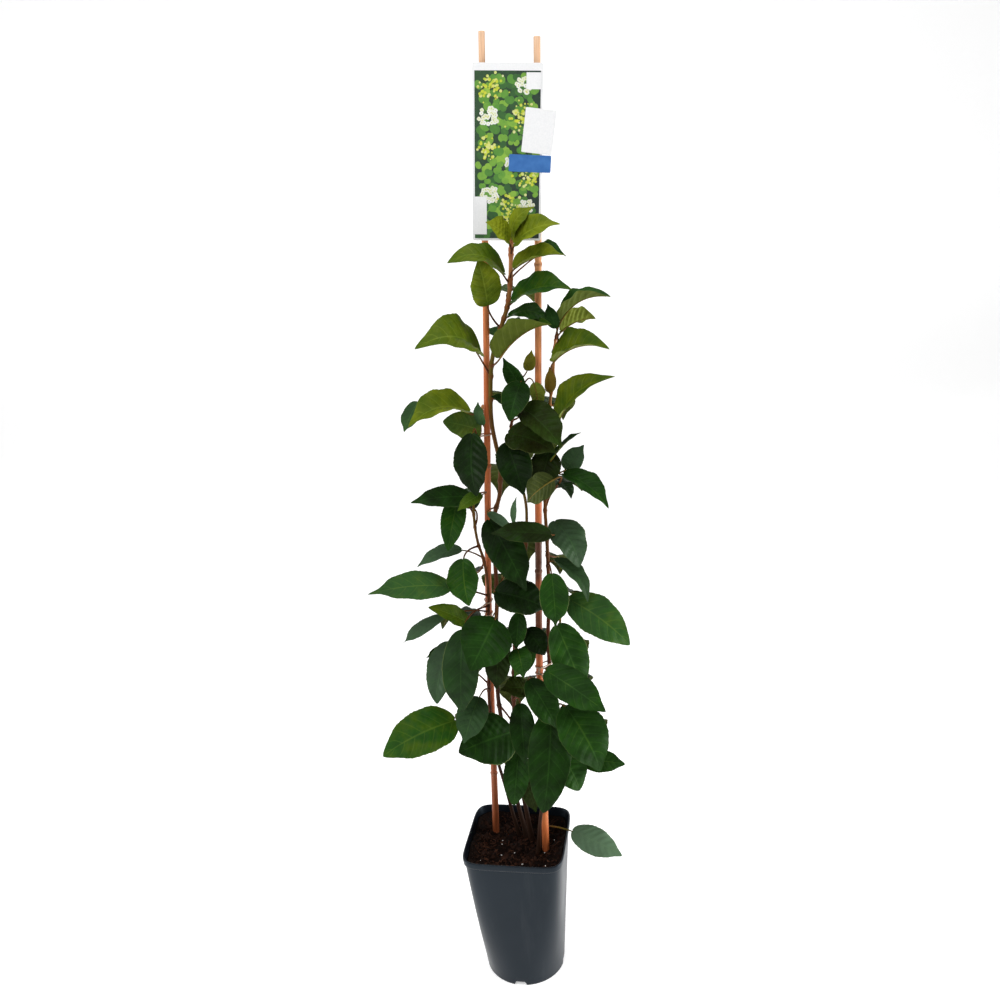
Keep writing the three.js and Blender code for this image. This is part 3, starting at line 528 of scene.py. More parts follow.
stems["leafyStemSide"] = dict(node="vine_side", radius=[2.1, 1.3], line=[
    [150, 4, 24], [199, -5, 24], [247, -13, 21], [287, -19, 19], [326, -22, 18], [362, -22, 17],
    [408, -20, 15], [453, -17, 13], [487, -14, 11], [518, -14, 10], [538, -17, 10], [552, -21, 11],
    [570, -23, 12], [598, -22, 12], [626, -18, 11], [660, -12, 9], [687, -8, 8], [705, -5, 7],
], leaves=[
    [702, -20, -14, 707, -81, -38, 701, 47, 20, 62, 24, 34, 0.2, 0, 0.3],
    [695, -6, -16, 694, -9, -18, 718, 13, -30, 20, 10, 10, 0.65, 0.2, 0.4],
    [693, -10, 14, 694, -40, 46, 680, 34, -130, 58, 12, 10, 0.65],
    [682, -10, -2, 685, -46, -22, 701, 32, 10, 30, 5, 10, 0.36, 0.1, 0.05],
    [680, -72, -8, 719, -88, -18, 692, 20, -20, 30, 5, 10, 0.7, 0.12],
    [653, -17, -30, 685, -17, -42, 624, 40, -30, 30, 10, 12, 1, 0, 0.3],
    [649, -9, 16, 656, -25, 44, 615, 32, -165, 36, 10, 18, 0.8],
    [610, -13, -28, 621, -38, -42, 610, 16, -10, 40, 10, 18, 0.4],
    [601, -26, -16, 616, -85, -42, 623, 26, -10, 36, 8, 16, 0.85],
    [587, -39, -2, 609, -52, -34, 564, 28, 0, 30, 6, 18, 0.65, 0, 0.1],
    [572, -22, 16, 593, -56, 62, 576, 44, -135, 58, 26, 14, 0.75],
    [550, -38, -8, 541, -35, -24, 494, 40, -25, 22, 8, 20, 0.6, 0, 0.3],
    [536, -41, 0, 551, -88, -16, 541, 20, -10, 50, 15, 25, 0.75, 0.3],
    [531, -26, 20, 516, -50, 66, 477, 36, -155, 45, 14, 12, 0.8],
    [490, -58, -16, 516, -138, -56, 530, 34, -10, 40, 10, 14, 0.55, 0.1, 0.6],
    [477, -44, -34, 466, -51, -54, 381, 42, -5, 30, 14, 15, 0.85, 0.06, 0.25],
    [470, -67, -16, 479, -112, -34, 458, 18, -5, 52, 8, 20, 0.8, 0.35, 0.9],
    [454, -37, -8, 466, -78, -30, 499, 24, -20, 50, 6, 18, 0.35, 0, 0.1],
    [449, -33, 24, 453, -73, 70, 427, 46, -150, 52, 24, 10, 0.85],
    [434, -62, -8, 442, -80, -34, 383, 34, -20, 30, 12, 15, 0.85, 0.25, 0.1],
    [408, -65, 8, 428, -89, -2, 425, 14, -10, 50, 10, 15, 0.85, 0, 0.6],
    [377, -35, 28, 387, -77, 74, 351, 44, -145, 56, 22, 12, 0.9],
    [369, -33, -24, 380, -52, -54, 343, 36, -5, 30, 16, 14, 0.75, 0.15],
    [345, -39, 35, 325, -53, 78, 265, 40, -170, 50, 22, 16, 0.9],
    [322, -64, -32, 359, -140, -70, 345, 54, -5, 45, 12, 12, 0.5, 0, 0.1],
])
stems["leafyStemMiddle"] = dict(node="vine_middle", radius=[2.8, 1.2], line=[
    [150, 19, 10], [223, 11, 8], [278, 8, 8], [331, 6, 10], [370, 7, 10], [422, 12, 8],
    [472, 18, 6], [518, 26, 5], [550, 32, 5], [576, 35, 5], [597, 35, 5], [618, 31, 4],
    [641, 23, 4], [661, 20, 4], [697, 26, 4], [729, 30, 4],
], leaves=[
    [729, 37, 2, 728, 20, -8, 760, 24, -20, 20, 5, 40, 0.75],
    [729, 45, -2, 745, 50, -8, 766, 14, 10, 30, 10, 25, 0.3, -0.3],
    [712, 36, -18, 734, 22, -38, 700, 30, -5, 30, 14, 15, 0.88, 0, 0.2],
    [700, 20, -6, 711, 5, -14, 722, 14, 0, 50, 10, 20, 0.85],
    [691, 51, -4, 730, 52, -14, 704, 20, 150, 20, 10, 15, 0.2],
    [691, 33, 12, 693, 55, 54, 676, 40, 160, 56, 14, 20, 0.8],
    [684, 38, -14, 707, 74, -40, 669, 42, 0, 50, 10, 30, 0.86, -0.05],
    [664, 22, -2, 678, 68, -26, 661, 44, 0, 50, 12, 15, 0.9, -0.05],
    [657, 19, -12, 669, 32, -36, 620, 38, 0, 30, 12, 15, 1],
    [636, 25, 14, 643, 34, 62, 615, 46, -175, 54, 26, 14, 0.85],
    [567, 20, -24, 586, 24, -28, 616, 9, -40, 20, 5, 20, 0.7, 0.3],
    [550, 26, 16, 558, 32, 66, 501, 50, 175, 34, 16, 14, 0.9],
    [508, -3, -19, 506, 50, -24, 484, 44, 0, 46, 14, 15, 1],
    [460, 19, -12, 475, 13, -24, 438, 22, 0, 40, 10, 20, 0.75],
    [435, -2, -16, 447, -12, -28, 392, 30, -10, 35, 12, 15, 0.9, -0.03],
    [428, 19, 18, 429, 38, 78, 378, 50, 165, 50, 24, 16, 0.9],
    [415, 27, -10, 454, 45, -20, 427, 28, 10, 40, 10, 15, 1, 0, 0.1],
    [410, 29, -20, 437, 9, -34, 410, 24, 10, 30, 12, 20, 0.6],
    [393, 15, -32, 441, 19, -52, 417, 28, 0, 45, 30, 25, 0.7],
    [370, 24, -14, 382, -7, -30, 393, 30, 0, 55, 14, 15, 0.85, -0.06],
    [361, 16, 20, 377, 8, 74, 305, 52, -175, 36, 16, 16, 0.9],
    [357, 14, -20, 365, 14, -48, 308, 30, 0, 30, 12, 15, 0.9, 0, 0.3],
    [305, 8, -10, 300, -2, -30, 242, 32, 0, 30, 12, 18, 0.78, 0, 0.1],
    [291, 9, 20, 305, 22, 74, 236, 46, 170, 50, 24, 10, 0.9],
    [278, 13, -5, 267, 24, -14, 219, 21, 0, 30, 5, 10, 0.9, -0.05],
])
stems["leafyStemRight"] = dict(node="vine_right", radius=[2.9, 1.4], line=[
    [150, 27, 4], [225, 37, 2], [278, 43, 4], [330, 47, 5], [382, 49, 5], [433, 51, 5],
    [482, 54, 5], [518, 55, 5], [554, 55, 5], [583, 55, 5], [606, 57, 5], [634, 60, 4],
    [667, 62, 3], [705, 66, 2], [742, 71, 1], [775, 76, 0],
], leaves=[
    [775, 81, -9, 794, 131, -23, 816, 40, 0, 83, 17, 44, 0.6, 0, 0.1],
    [765, 83, 12, 781, 119, 17, 791, 46, -170, 55, 10, 26, 0.22, 0, 0.05],
    [761, 75, -17, 789, 68, -19, 813, 15, -20, 30, 10, 20, 0.85, 0, 0.5],
    [738, 72, -12, 754, 127, -30, 766, 48, 10, 66, 17, 38, 0.3, 0, 0.3],
    [732, 77, 10, 757, 113, 44, 766, 30, 140, 36, 10, 18, 0.6],
    [719, 66, -8, 722, 67, -12, 748, 14, 10, 30, 10, 25, 0.4, -0.6],
    [705, 70, 10, 704, 83, 54, 676, 36, 155, 48, 26, 10, 0.7],
    [667, 74, -8, 690, 132, -22, 736, 40, -20, 60, 18, 34, 0.27],
    [662, 62, 14, 668, 57, 60, 630, 32, 172, 34, 10, 12, 0.8],
    [645, 62, -6, 656, 48, -20, 620, 34, 10, 30, 12, 15, 0.95, -0.03, 0.1],
    [634, 64, -14, 651, 95, -20, 680, 18, 10, 84, 5, 18, 0.8],
    [632, 78, -6, 630, 120, -36, 599, 32, 10, 62, 14, 32, 0.75, 0, 0.3],
    [629, 81, 8, 633, 100, 0, 660, 24, 10, 32, 8, 18, 0.75, 0.25],
    [618, 70, -2, 624, 83, -18, 607, 26, 60, 30, 10, 15, 0.95],
    [600, 63, -32, 633, 34, -52, 617, 34, 170, 15, 10, 15, 1],
    [588, 68, 14, 610, 101, 56, 593, 46, 140, 50, 16, 16, 0.8],
    [563, 56, -28, 572, -5, -40, 582, 25, 0, 40, 8, 12, 0.95, -0.02],
    [554, 66, 2, 574, 87, -28, 532, 42, 25, 35, 18, 12, 0.88, 0.2, 0.1],
    [536, 65, 16, 530, 71, 62, 489, 34, 160, 45, 14, 18, 0.8],
    [523, 57, -28, 524, 57, -46, 471, 33, 5, 30, 10, 15, 0.7, 0, 0.7],
    [523, 63, -8, 533, 95, -28, 491, 26, 40, 40, 20, 30, 0.85, 0.12, 0.3],
    [492, 66, 26, 482, 100, 68, 444, 38, 135, 48, 14, 14, 0.85],
    [420, 60, 18, 426, 85, 66, 372, 52, 150, 34, 18, 10, 0.9],
    [363, 57, 18, 370, 94, 70, 331, 50, 140, 52, 24, 12, 0.9],
    [298, 56, 20, 305, 74, 70, 234, 50, 150, 36, 16, 14, 0.9],
    [189, 68, -14, 189, 121, -38, 169, 34, 15, 48, 6, 5, 0.75, 0.62, 0.3],
])
stems["leafyStemLow"] = dict(node="vine_low", radius=[2.2, 1.2], line=[
    [150, 22, -16], [200, 27, -18], [250, 34, -18], [290, 42, -18], [330, 50, -16], [370, 55, -15],
    [410, 60, -14], [450, 63, -13], [480, 65, -13], [512, 64, -12],
], leaves=[
    [485, 77, -16, 489, 137, -44, 444, 46, 15, 35, 12, 12, 0.55, 0.06, 0.2],
    [477, 68, 10, 467, 120, 52, 439, 50, 145, 50, 16, 16, 0.85],
    [450, 61, -20, 459, 85, -26, 381, 44, 12, 24, 5, 12, 0.68, 0, 0.3],
    [410, 47, -40, 416, 104, -80, 385, 40, 10, 34, 6, 12, 0.72, 0, 0.3],
    [380, 26, -24, 397, 53, -44, 347, 34, 10, 35, 12, 15, 0.8],
    [352, 65, -48, 373, 96, -84, 315, 56, 15, 35, 14, 12, 0.75, 0, 0.3],
    [347, 47, -30, 354, 31, -80, 264, 50, 6, 32, 14, 12, 0.85, 0, 0],
    [329, 66, 8, 325, 109, 52, 282, 54, 130, 50, 18, 16, 0.9],
    [323, 84, -8, 282, 130, -22, 282, 28, 10, 40, 10, 15, 0.7, 0, 0.3],
    [302, 56, -14, 298, 76, -30, 256, 40, 20, 30, 12, 12, 0.72, 0, 0],
])
stemSurface = dict(step=2.0, sides=12, swell=0.38, swellHeight=2.2, sway=0.35, crown=0.55, crownHeight=16)
blade = dict(baseRoundness=0.46, tipTaper=0.74, lobe=0.06, droop=0.12, rows=61, columns=15, teeth=14,
             toothDepth=0.03, veins=7, veinReach=0.22, veinSweep=0.10, veinOffset=0.12, dripFrom=0.72,
             dripLength=0.2, pucker=0.038, wave=0.085, thickness=0.85, twist=8, tipCurl=0.045,
             easing=0.28, usual=[0, 0.45])
petiole = dict(stations=15, sides=7, root=1.25, neck=0.85, flare=1.5, ribFrom=0.01, ribTo=0.93, ribNeck=0.9,
               ribEnd=0.16, ribClear=0.12, least=0.65, fullWidth=45)
bud = dict(length=4.6, width=0.75, bulge=1.2, point=0.05, leans=(-0.35, 0.35), sides=8)


# The rows of leaves as named arrays, the last values filled in where a row leaves them out, and four
# random traits for each leaf beside them
def readLeaves(rows):
    rows = np.array([row + blade["usual"][len(row) - 13:] for row in rows], float)
    leaves = dict(root=rows[:, 0], base=rows[:, 1:4], tip=rows[:, 4:7])
    leaves.update(zip(("width", "heading", "tilt", "arch", "fold", "tone", "bloom", "drip"), rows[:, 7:].T))
    for trait in ("wave", "twist", "curl", "luck"):
        leaves[trait] = (rng.normal(0, 1, len(rows)).clip(-1.5, 1.5) if trait == "twist"
                         else rng.uniform(0, 1, len(rows)))
    return leaves


# Stem: circles along its line, which sways by slow waves, thicker at every node where a leaf leaves it
# and, by a crown that fades with height, towards the soil
def makeStem(stem, roots):
    surface, sides = stemSurface, stemSurface["sides"]
    low, high = stem["line"][0][0], stem["line"][-1][0]
    heights = np.arange(low, high + 0.01, surface["step"])
    path = pointsAt(stem["line"], heights)
    waves = np.sin(heights[:, None] / [13, 29, 11, 31] + rng.uniform(0, 2 * np.pi, 4))
    path[:, :2] += surface["sway"] * waves.reshape(-1, 2, 2).sum(2)
    nodes = np.exp(-((heights[:, None] - roots) / surface["swellHeight"]) ** 2).max(1)
    crown = np.exp(-np.clip(heights - soil["top"], 0, None) / surface["crownHeight"])
    radii = radiusAt(stem, heights) * (1 + surface["swell"] * nodes + surface["crown"] * crown)
    age = np.concatenate([np.repeat(1 - (heights - low) / (high - low), sides), [1, 0]])
    joint = np.concatenate([np.repeat(nodes, sides), [0, 0]])
    return *tube(path, radii, sides, toFront), dict(age=age, joint=joint)


# Half width of a blade, 1 at its widest: t to the baseRoundness times (1 - t) to the tipTaper, less a
# share near the tip that draws it out to a point
def ovate(t, drawnOut):
    base, taper = blade["baseRoundness"], blade["tipTaper"]
    widest = base / (base + taper)
    late = np.clip((t - blade["dripFrom"]) / blade["dripLength"], 0, 1)
    shape = t ** base * (1 - t) ** taper * (1 - drawnOut * late * late * (3 - 2 * late))
    return shape / (widest ** base * (1 - widest) ** taper)


# Frames of many leaves at once: axis, length, the direction of the upper face, and the side
def leafFrames(leaves):
    span = leaves["tip"] - leaves["base"]
    axis, length = unit(span), np.linalg.norm(span, axis=1)
    turn, rise = np.radians(leaves["heading"]), np.radians(leaves["tilt"])
    face = np.column_stack([np.sin(turn) * np.cos(rise), -np.cos(turn) * np.cos(rise), np.sin(rise)])
    up = unit(face - axis * (face * axis).sum(1, keepdims=True))
    return axis, length, up, np.cross(up, axis)


# A number or a vector for each leaf, spread over the leaf's grid
def spread(values):
    return values[:, None, None]


# Sheet of every leaf at (t, q): along the axis by t, sideways by q times the half width, and lifted by
# the arch, the fold, a droop with the square of q, dips along the side veins, waves at the margin, a
# slow twist and a curl at the tip
def leafSheets(leaves, t, q, lift):
    axis, length, up, side = (spread(values) for values in leafFrames(leaves))
    trait = {name: spread(values) for name, values in leaves.items()}
    out, fold, phase = np.abs(q), np.radians(trait["fold"]), trait["wave"]
    saw = (t * blade["teeth"]) % 1 - 0.5
    half = trait["width"] / 2 * ovate(t, trait["drip"])
    half = half * (1 + blade["toothDepth"] * saw * out ** 12 * np.clip(t * 8, 0, 1))
    drawn = blade["veinReach"] * out + blade["veinSweep"] * q * q
    vein = (t - drawn * (1 - 0.5 * t)) * blade["veins"] + blade["veinOffset"] * np.sign(q)
    dips = -blade["pucker"] * half * np.cos(2 * np.pi * vein) * np.sin(np.pi * np.clip(out, 0, 1)) ** 0.8
    waves = blade["wave"] * half * q * q * (np.sin(2 * np.pi * (1.6 * t + phase + 0.3 * q))
                                            + 0.5 * np.sin(2 * np.pi * (3.7 * t - phase * 2 - 0.2 * q)))
    arch = length * trait["arch"] * 4 * t * (1 - t) / 100
    twist = np.radians(trait["twist"] * blade["twist"]) * (t - 0.4)
    curl = -length * blade["tipCurl"] * trait["curl"] * np.clip((t - 0.7) / 0.3, 0, 1) ** 2
    flat = half * q * np.cos(fold)
    rise = half * (out * np.sin(fold) - blade["droop"] * q * q) + dips + waves
    flat, rise = flat * np.cos(twist) - rise * np.sin(twist) * 0.5, rise + flat * np.sin(twist)
    along = length * (t - blade["lobe"] * out * (1 - t) ** 6)
    return (trait["base"] + axis * along[..., None] + side * flat[..., None]
            + up * (arch + rise + curl + lift)[..., None])


# Blades: each is one closed skin whose upper and lower faces meet in the margin, and the lower one
# hangs below the upper by a thickness that falls to nothing there; the rows are denser at both ends
def makeBlades(leaves):
    count, run = len(leaves["root"]), np.linspace(0, 1, blade["rows"])
    eased = (1 - np.cos(np.pi * run)) / 2
    t = ((1 - blade["easing"]) * run + blade["easing"] * eased) * 0.9985 + 0.0008
    q = np.sin(np.linspace(-1, 1, blade["columns"]) * np.pi / 2)
    t, q = np.meshgrid(t, np.concatenate([q, q[-2:0:-1]]), indexing="ij")
    under = np.zeros(q.shape)
    under[:, blade["columns"]:] = 1
    sheets = leafSheets(leaves, t, q, -blade["thickness"] * under * (1 - q ** 6) * np.clip(1.3 - t, 0, 1))
    points = np.concatenate([sheets.reshape(count, -1, 3), sheets[:, [0, -1]].mean(2)], 1)
    grids = dict(across=(q, 0, 0), along=(t, 0, 1), under=(under, 0, 0))
    shades = {label: np.tile(np.append(grid, ends), count) for label, (grid, *ends) in grids.items()}
    shades.update({label: np.repeat(leaves[label], points.shape[1]) for label in ("tone", "bloom", "luck")})
    return *copies(points, closedRings(sheets[0])[1]), shades


# Petiole of one leaf: a tapering tube on a quadratic curve from the stem to the blade's base, which
# runs on as a rib under the midrib to near the tip
def makePetiole(root, leaf):
    up = leafFrames(leaf)[2][0]
    t = np.linspace(petiole["ribFrom"], petiole["ribTo"], petiole["stations"])
    least = petiole["least"]
    small = least + (1 - least) * min(1, leaf["width"][0] / petiole["fullWidth"])
    ribRadii = small * (petiole["neck"] * petiole["ribNeck"] * (1 - t) + petiole["ribEnd"])
    below = -(ribRadii + petiole["ribClear"])
    rib = leafSheets(leaf, t[:, None], np.zeros((1, 1)), below[:, None])[0, :, 0]
    bend = rib[0] - unit(rib[1] - rib[0]) * np.linalg.norm(leaf["base"][0] - root) / 2
    u = np.linspace(0, 1, petiole["stations"])[:-1, None]
    curve = root * (1 - u) ** 2 + bend * 2 * u * (1 - u) + rib[0] * u * u
    radii = np.concatenate([small * np.linspace(petiole["root"], petiole["neck"], len(curve)), ribRadii])
    radii[0] *= petiole["flare"]
    green = 1 - 0.7 * max(leaf["bloom"][0], 0)
    age = np.concatenate([np.linspace(0.55, 0.22, len(curve)) * green, np.full(len(rib), 0.14)])
    age = np.concatenate([np.repeat(age, petiole["sides"]), [0.5, 0.14]])
    return *tube(np.concatenate([curve, rib]), radii, petiole["sides"], unit(up + 0.001)), dict(age=age)


# Bud at a stem's tip: two scales, each a small pointed oval of circles, side by side
def makeBud(line, radius):
    end = pointsAt(line, [line[-1][0] - 1, line[-1][0]])
    way, share = end[1] - end[0], np.linspace(0, 1, 9)[:, None]
    radii = radius * bud["width"] * np.sqrt(1 - share) * (1 + bud["bulge"] * share) + bud["point"]
    axis, apart = end[0] + unit(way) * share * radius * bud["length"], np.sin(share * np.pi) * radius
    paths = [axis + np.array([lean, 0.2, 0]) * apart for lean in bud["leans"]]
    return *together([tube(path, radii, bud["sides"], np.array([0, -1.0, 0.01])) for path in paths]), {}


# One leafy stem: bark parts first, then the blades, as one mesh with two materials; a shade that a part
# doesn't have is 0 on it
def makeLeafyStem(name, stem):
    leaves = readLeaves(stem["leaves"])
    parts = [makeStem(stem, leaves["root"])]
    for i, root in enumerate(pointsAt(stem["line"], leaves["root"])):
        parts.append(makePetiole(root, {key: values[i:i + 1] for key, values in leaves.items()}))
    parts += [makeBud(stem["line"], stem["radius"][1]), makeBlades(leaves)]
    shades = {label: np.concatenate([part[2].get(label, np.zeros(len(part[0]))) for part in parts])
              for label in ("age", "joint", "across", "along", "under", "tone", "bloom", "luck")}
    points, triangles = together(parts)
    piece = dress(name, "leafy_stem", [stem["node"]], (points, triangles, shades), stemBark, leafSkin)
    onBlade = np.arange(len(triangles)) >= len(triangles) - len(parts[-1][1])
    piece.data.polygons.foreach_set("material_index", onBlade.astype(np.int32))


# Leaf skin: colour by tone on top, with painted shade for leaves deep inside the plant, and a paler,
# greyer green below, light veins along the midrib, the side veins and a fine net, a blue-grey bloom that
# is partly a painted sheen, a thin pale margin, and a satin surface
def leafMaterial():
    leaf = Finish("leafSkin", specular=0.06)
    across, along, under, tone, bloom, luck = (
        leaf.shadeOf(label) for label in ("across", "along", "under", "tone", "bloom", "luck"))
    reach, cloud = leaf.maths("ABSOLUTE", across), leaf.noise(55, 4)
    shifted = leaf.drift(tone, cloud, 0.6)
    # the darkest stops are painted shade for leaves deep inside the plant
    top = leaf.ramp(shifted, (0, 0.185, 0.22, 0.008), (0.22, 0.082, 0.12, 0.005), (0.38, 0.044, 0.086, 0.004),
                    (0.55, 0.015, 0.06, 0.005), (0.75, 0.0095, 0.036, 0.004), (1, 0.0036, 0.0115, 0.0012))
    bottom = leaf.ramp(shifted, (0, 0.15, 0.18, 0.018), (0.4, 0.08, 0.105, 0.012), (1, 0.024, 0.034, 0.006))
    pale = leaf.ramp(shifted, (0, 0.26, 0.3, 0.03), (0.38, 0.085, 0.15, 0.014), (0.75, 0.022, 0.07, 0.01),
                     (1, 0.009, 0.026, 0.004))
    # side veins: a saw of the distance along, drawn back with the distance across, as in leafSheets
    drawn = leaf.plus(leaf.times(reach, blade["veinReach"]),
                      leaf.times(leaf.times(reach, reach), blade["veinSweep"]))
    drawn = leaf.times(drawn, leaf.minus(1.0, leaf.times(along, 0.5)))
    veinAt = leaf.plus(leaf.times(leaf.minus(along, drawn), blade["veins"]),
                       leaf.times(leaf.maths("SIGN", across), blade["veinOffset"]))
    sideVein = leaf.ranged(leaf.maths("PINGPONG", veinAt, 0.5), 0.0, 0.085, 1.0, 0.0, "SMOOTHSTEP")
    sideVein = leaf.times(sideVein, leaf.ranged(reach, 0.55, 1.0, 1.0, 0.25))
    midrib = leaf.ranged(reach, 0.015, 0.06, 1.0, 0.0, "SMOOTHSTEP")
    net = leaf.add("TexVoronoi", {"Vector": leaf.add("TexCoord", {}, "Object"), "Scale": 420.0},
                   "Distance", feature="DISTANCE_TO_EDGE")
    veins = leaf.maths("MAXIMUM", midrib, leaf.times(sideVein, 0.75))
    lines = leaf.maths("MAXIMUM", veins, leaf.times(leaf.ranged(net, 0.0, 0.12, 1.0, 0.0), 0.12))
    top = leaf.mix(leaf.times(lines, 0.7), top, pale)
    bottom = leaf.mix(leaf.times(lines, 0.3), bottom, (0.17, 0.19, 0.05))
    body = leaf.mix(under, top, bottom)
    # bloom: blue-grey, partly the leaf's own colour and partly a painted bluish sheen
    body = leaf.mix(leaf.times(bloom, 1.0, clamp=True), body, (0.115, 0.185, 0.115))
    body = leaf.mix(leaf.times(bloom, -1.0, clamp=True), body, (0.17, 0.065, 0.012))
    body = leaf.mix(leaf.times(leaf.ranged(reach, 0.955, 0.99, 0.0, 0.5), luck), body, (0.20, 0.24, 0.08))
    gloss = leaf.plus(leaf.ranged(cloud, 0.35, 0.65, 0.40, 0.52), leaf.times(under, 0.18))
    relief = leaf.minus(leaf.times(net, 1.2), leaf.times(veins, 0.9))
    return leaf.shade(colour=body, roughness=gloss, normal=leaf.bump(relief, 0.35, 0.0004))


# Stem bark: green at the tip, red-brown further down and grey-brown wood near the soil
def barkMaterial():
    stem = Finish("stemBark", roughness=0.5, specular=0.1)
    age, streaks = stem.shadeOf("age"), stem.noise(300, 4, (1, 1, 0.2), 0.6)
    skin = stem.ramp(stem.drift(age, streaks, 0.2), (0.0, 0.42, 0.19, 0.075), (0.07, 0.28, 0.12, 0.035),
                     (0.15, 0.10, 0.080, 0.008), (0.28, 0.11, 0.044, 0.009), (0.5, 0.085, 0.022, 0.006),
                     (0.8, 0.030, 0.012, 0.006), (1.0, 0.016, 0.008, 0.005))
    node = stem.ramp(age, (0.0, 0.26, 0.045, 0.018), (0.4, 0.06, 0.028, 0.014))
    return stem.shade(colour=stem.mix(stem.times(stem.shadeOf("joint"), 0.5), skin, node),
                      normal=stem.bump(streaks, 0.4, 0.0004))


leafSkin, stemBark = leafMaterial(), barkMaterial()
for name, stem in stems.items():
    makeLeafyStem(name, stem)
    print(name + " made")

# Ties: soft wire laid twice round a cane and a stem and twisted into two tails. Each has a height and the
# way its tails point, in radians, and its side says what it ties. A strand is its phase and how wide it opens
ties = dict(wire=0.55, gap=0.35, turns=2, climb=0.9, steps=72, sides=8, tail=9.0, tailSteps=40,
            tailTurns=2.2, tailDrop=(0, -0.35, -0.25), tailsPart=0.72, strands=((0, 1.6), (np.pi, 1)),
            left=("caneLeft", "leafyStemSide"), right=("caneRight", "leafyStemRight"), places={
                "tie_left_high": (676, -2.5), "tie_left_low": (466, -2.8), "tie_left_middle": (482, -2.4),
                "tie_right_low": (397, -1.2), "tie_right_middle": (405, -1.7)})


# Loop at a height: in each direction the farther edge of the cane or the stem, joined straight between
# them, with the height rising by a wire's width in a turn, and two strands wound round a line as tails
def makeTie(cane, stem, height, way):
    wire = ties["wire"]
    centres = np.concatenate([pointsAt(thing["line"], height) for thing in (cane, stem)])
    sizes = np.array([radiusAt(cane, height), stem["radius"][0]]) + wire + ties["gap"]
    outward = compass(np.linspace(0, 2 * np.pi * ties["turns"], ties["steps"] * ties["turns"]) + way)
    farther = (outward @ centres.T + sizes).argmax(1)
    loop = centres[farther] + outward * sizes[farther, None]
    loop[:, 2] += np.linspace(-1, 1, len(loop)) * wire * ties["climb"]
    start, out = loop[[0, -1]].mean(0), unit(outward[0] + np.array(ties["tailDrop"]))
    sideways = unit(np.cross(out, [0, 0, 1.0]))
    above = np.cross(sideways, out)
    run = np.linspace(0, 1, ties["tailSteps"])[:, None]
    skins = []
    for phase, opening in ties["strands"]:
        turn = 2 * np.pi * ties["tailTurns"] * run + phase
        apart = wire * (0.95 + 2.2 * opening * np.clip(run - ties["tailsPart"], 0, 1))
        path = start + out * run * ties["tail"] + (sideways * np.cos(turn) + above * np.sin(turn)) * apart
        skins.append(tube(path, np.full(len(path), wire), ties["sides"], above))
    return together([*skins, tube(loop, np.full(len(loop), wire), ties["sides"], np.array([0, 0, 1.0]))])


# Wire's coat: fine noise between a brown and a paler brown
def coatedWire():
    wire = Finish("coatedWire", roughness=0.55, sheen=0.15)
    cloth = wire.noise(900, 3)
    return wire.shade(colour=wire.ramp(cloth, (0.3, 0.36, 0.21, 0.13), (0.7, 0.52, 0.36, 0.24)),
                      normal=wire.bump(cloth, 0.3, 0.0002))


wireCoat = coatedWire()
for node, place in ties["places"].items():
    caneName, stemName = ties[node.split("_")[1]]
    dress(node + "Wire", "tie", [node], makeTie(canes[caneName], stems[stemName], *place), wireCoat)
print("ties made")

# Label: a printed card in front of the cane tops, on two straps round the back of the canes. Its heads
# and sprays are [x, z, spread, count], and its bare parts x, z, width and height
label = dict(width=68, height=164, thickness=0.8, centre=(37.5, 957.5), lean=4, front=0.2, corner=2.2,
             border=2.2, strapHeights=(1018, 966), strapHeight=9, strapThickness=0.8, strapGap=0.9,
             strapBend=4.0, topMargin=7, columns=11, lines=24, leafStep=(6.6, 6.7), leafSizes=(3.4, 6.4),
             heads=[[17, 62, 9, 30], [-18, 34, 10, 34], [6, -8, 8, 24], [-17, -38, 9, 30], [20, -48, 8, 22]],
             sprays=[[-14, 60, 12, 60], [14, 34, 13, 70], [-20, 4, 11, 50], [20, -22, 11, 50],
                     [2, -52, 12, 60]],
             bareStrip=(-26, -58, 12, 36), barePatch=(25, 66, 14, 15))


# Places a drawing in a card's own plane: x to the right, z up, turned by the lean about its centre
def onCard(points, centre, lean, ahead):
    turn = math.radians(lean)
    x, depth, z = np.moveaxis(points, -1, 0)
    return np.stack([centre[0] + x * math.cos(turn) + z * math.sin(turn), ahead + depth,
                     centre[1] - x * math.sin(turn) + z * math.cos(turn)], -1)


# The same in the label's own plane
def onLabel(points):
    return onCard(points, label["centre"], label["lean"], label["front"])


# Rounded card: a rounded rectangle carried through its thickness with softened edges
def makeCard(width, height, thickness, corner, softness=0.12):
    way = compass(roundAngles(96))[:, [0, 2, 1]]
    middle = np.sign(way) * [width / 2 - corner, 0, height / 2 - corner]
    depths = [(0, -softness), (softness, 0), (thickness - softness, 0), (thickness, -softness)]
    rings = [middle + way * (corner + grow) + [0, depth, 0] for depth, grow in depths]
    return closedRings(np.array(rings)[:, ::-1])


# Plain rectangle of the print: middle, width and height in the card's plane, at a depth
def barePart(x, z, width, height, depth):
    corners = np.array([[-1, 0, -1], [1, 0, -1], [1, 0, 1], [-1, 0, 1]]) * [width / 2, 0, height / 2]
    return onLabel(corners + [x, depth, z]), np.array([[0, 1, 2], [0, 2, 3]])


# Flat shapes of the print: a fan of points around each centre, each a hair in front of the last
def fanShapes(centres, outlines, depth):
    count, corners = outlines.shape[:2]
    flat = np.concatenate([centres[:, None], centres[:, None] + outlines], 1)
    depths = np.broadcast_to((depth - 0.0004 * np.arange(count))[:, None], flat.shape[:2])
    k = np.arange(corners)
    fan = np.stack([0 * k, k + 1, (k + 1) % corners + 1], -1)
    return copies(np.stack([flat[..., 0], depths, flat[..., 1]], -1), fan)


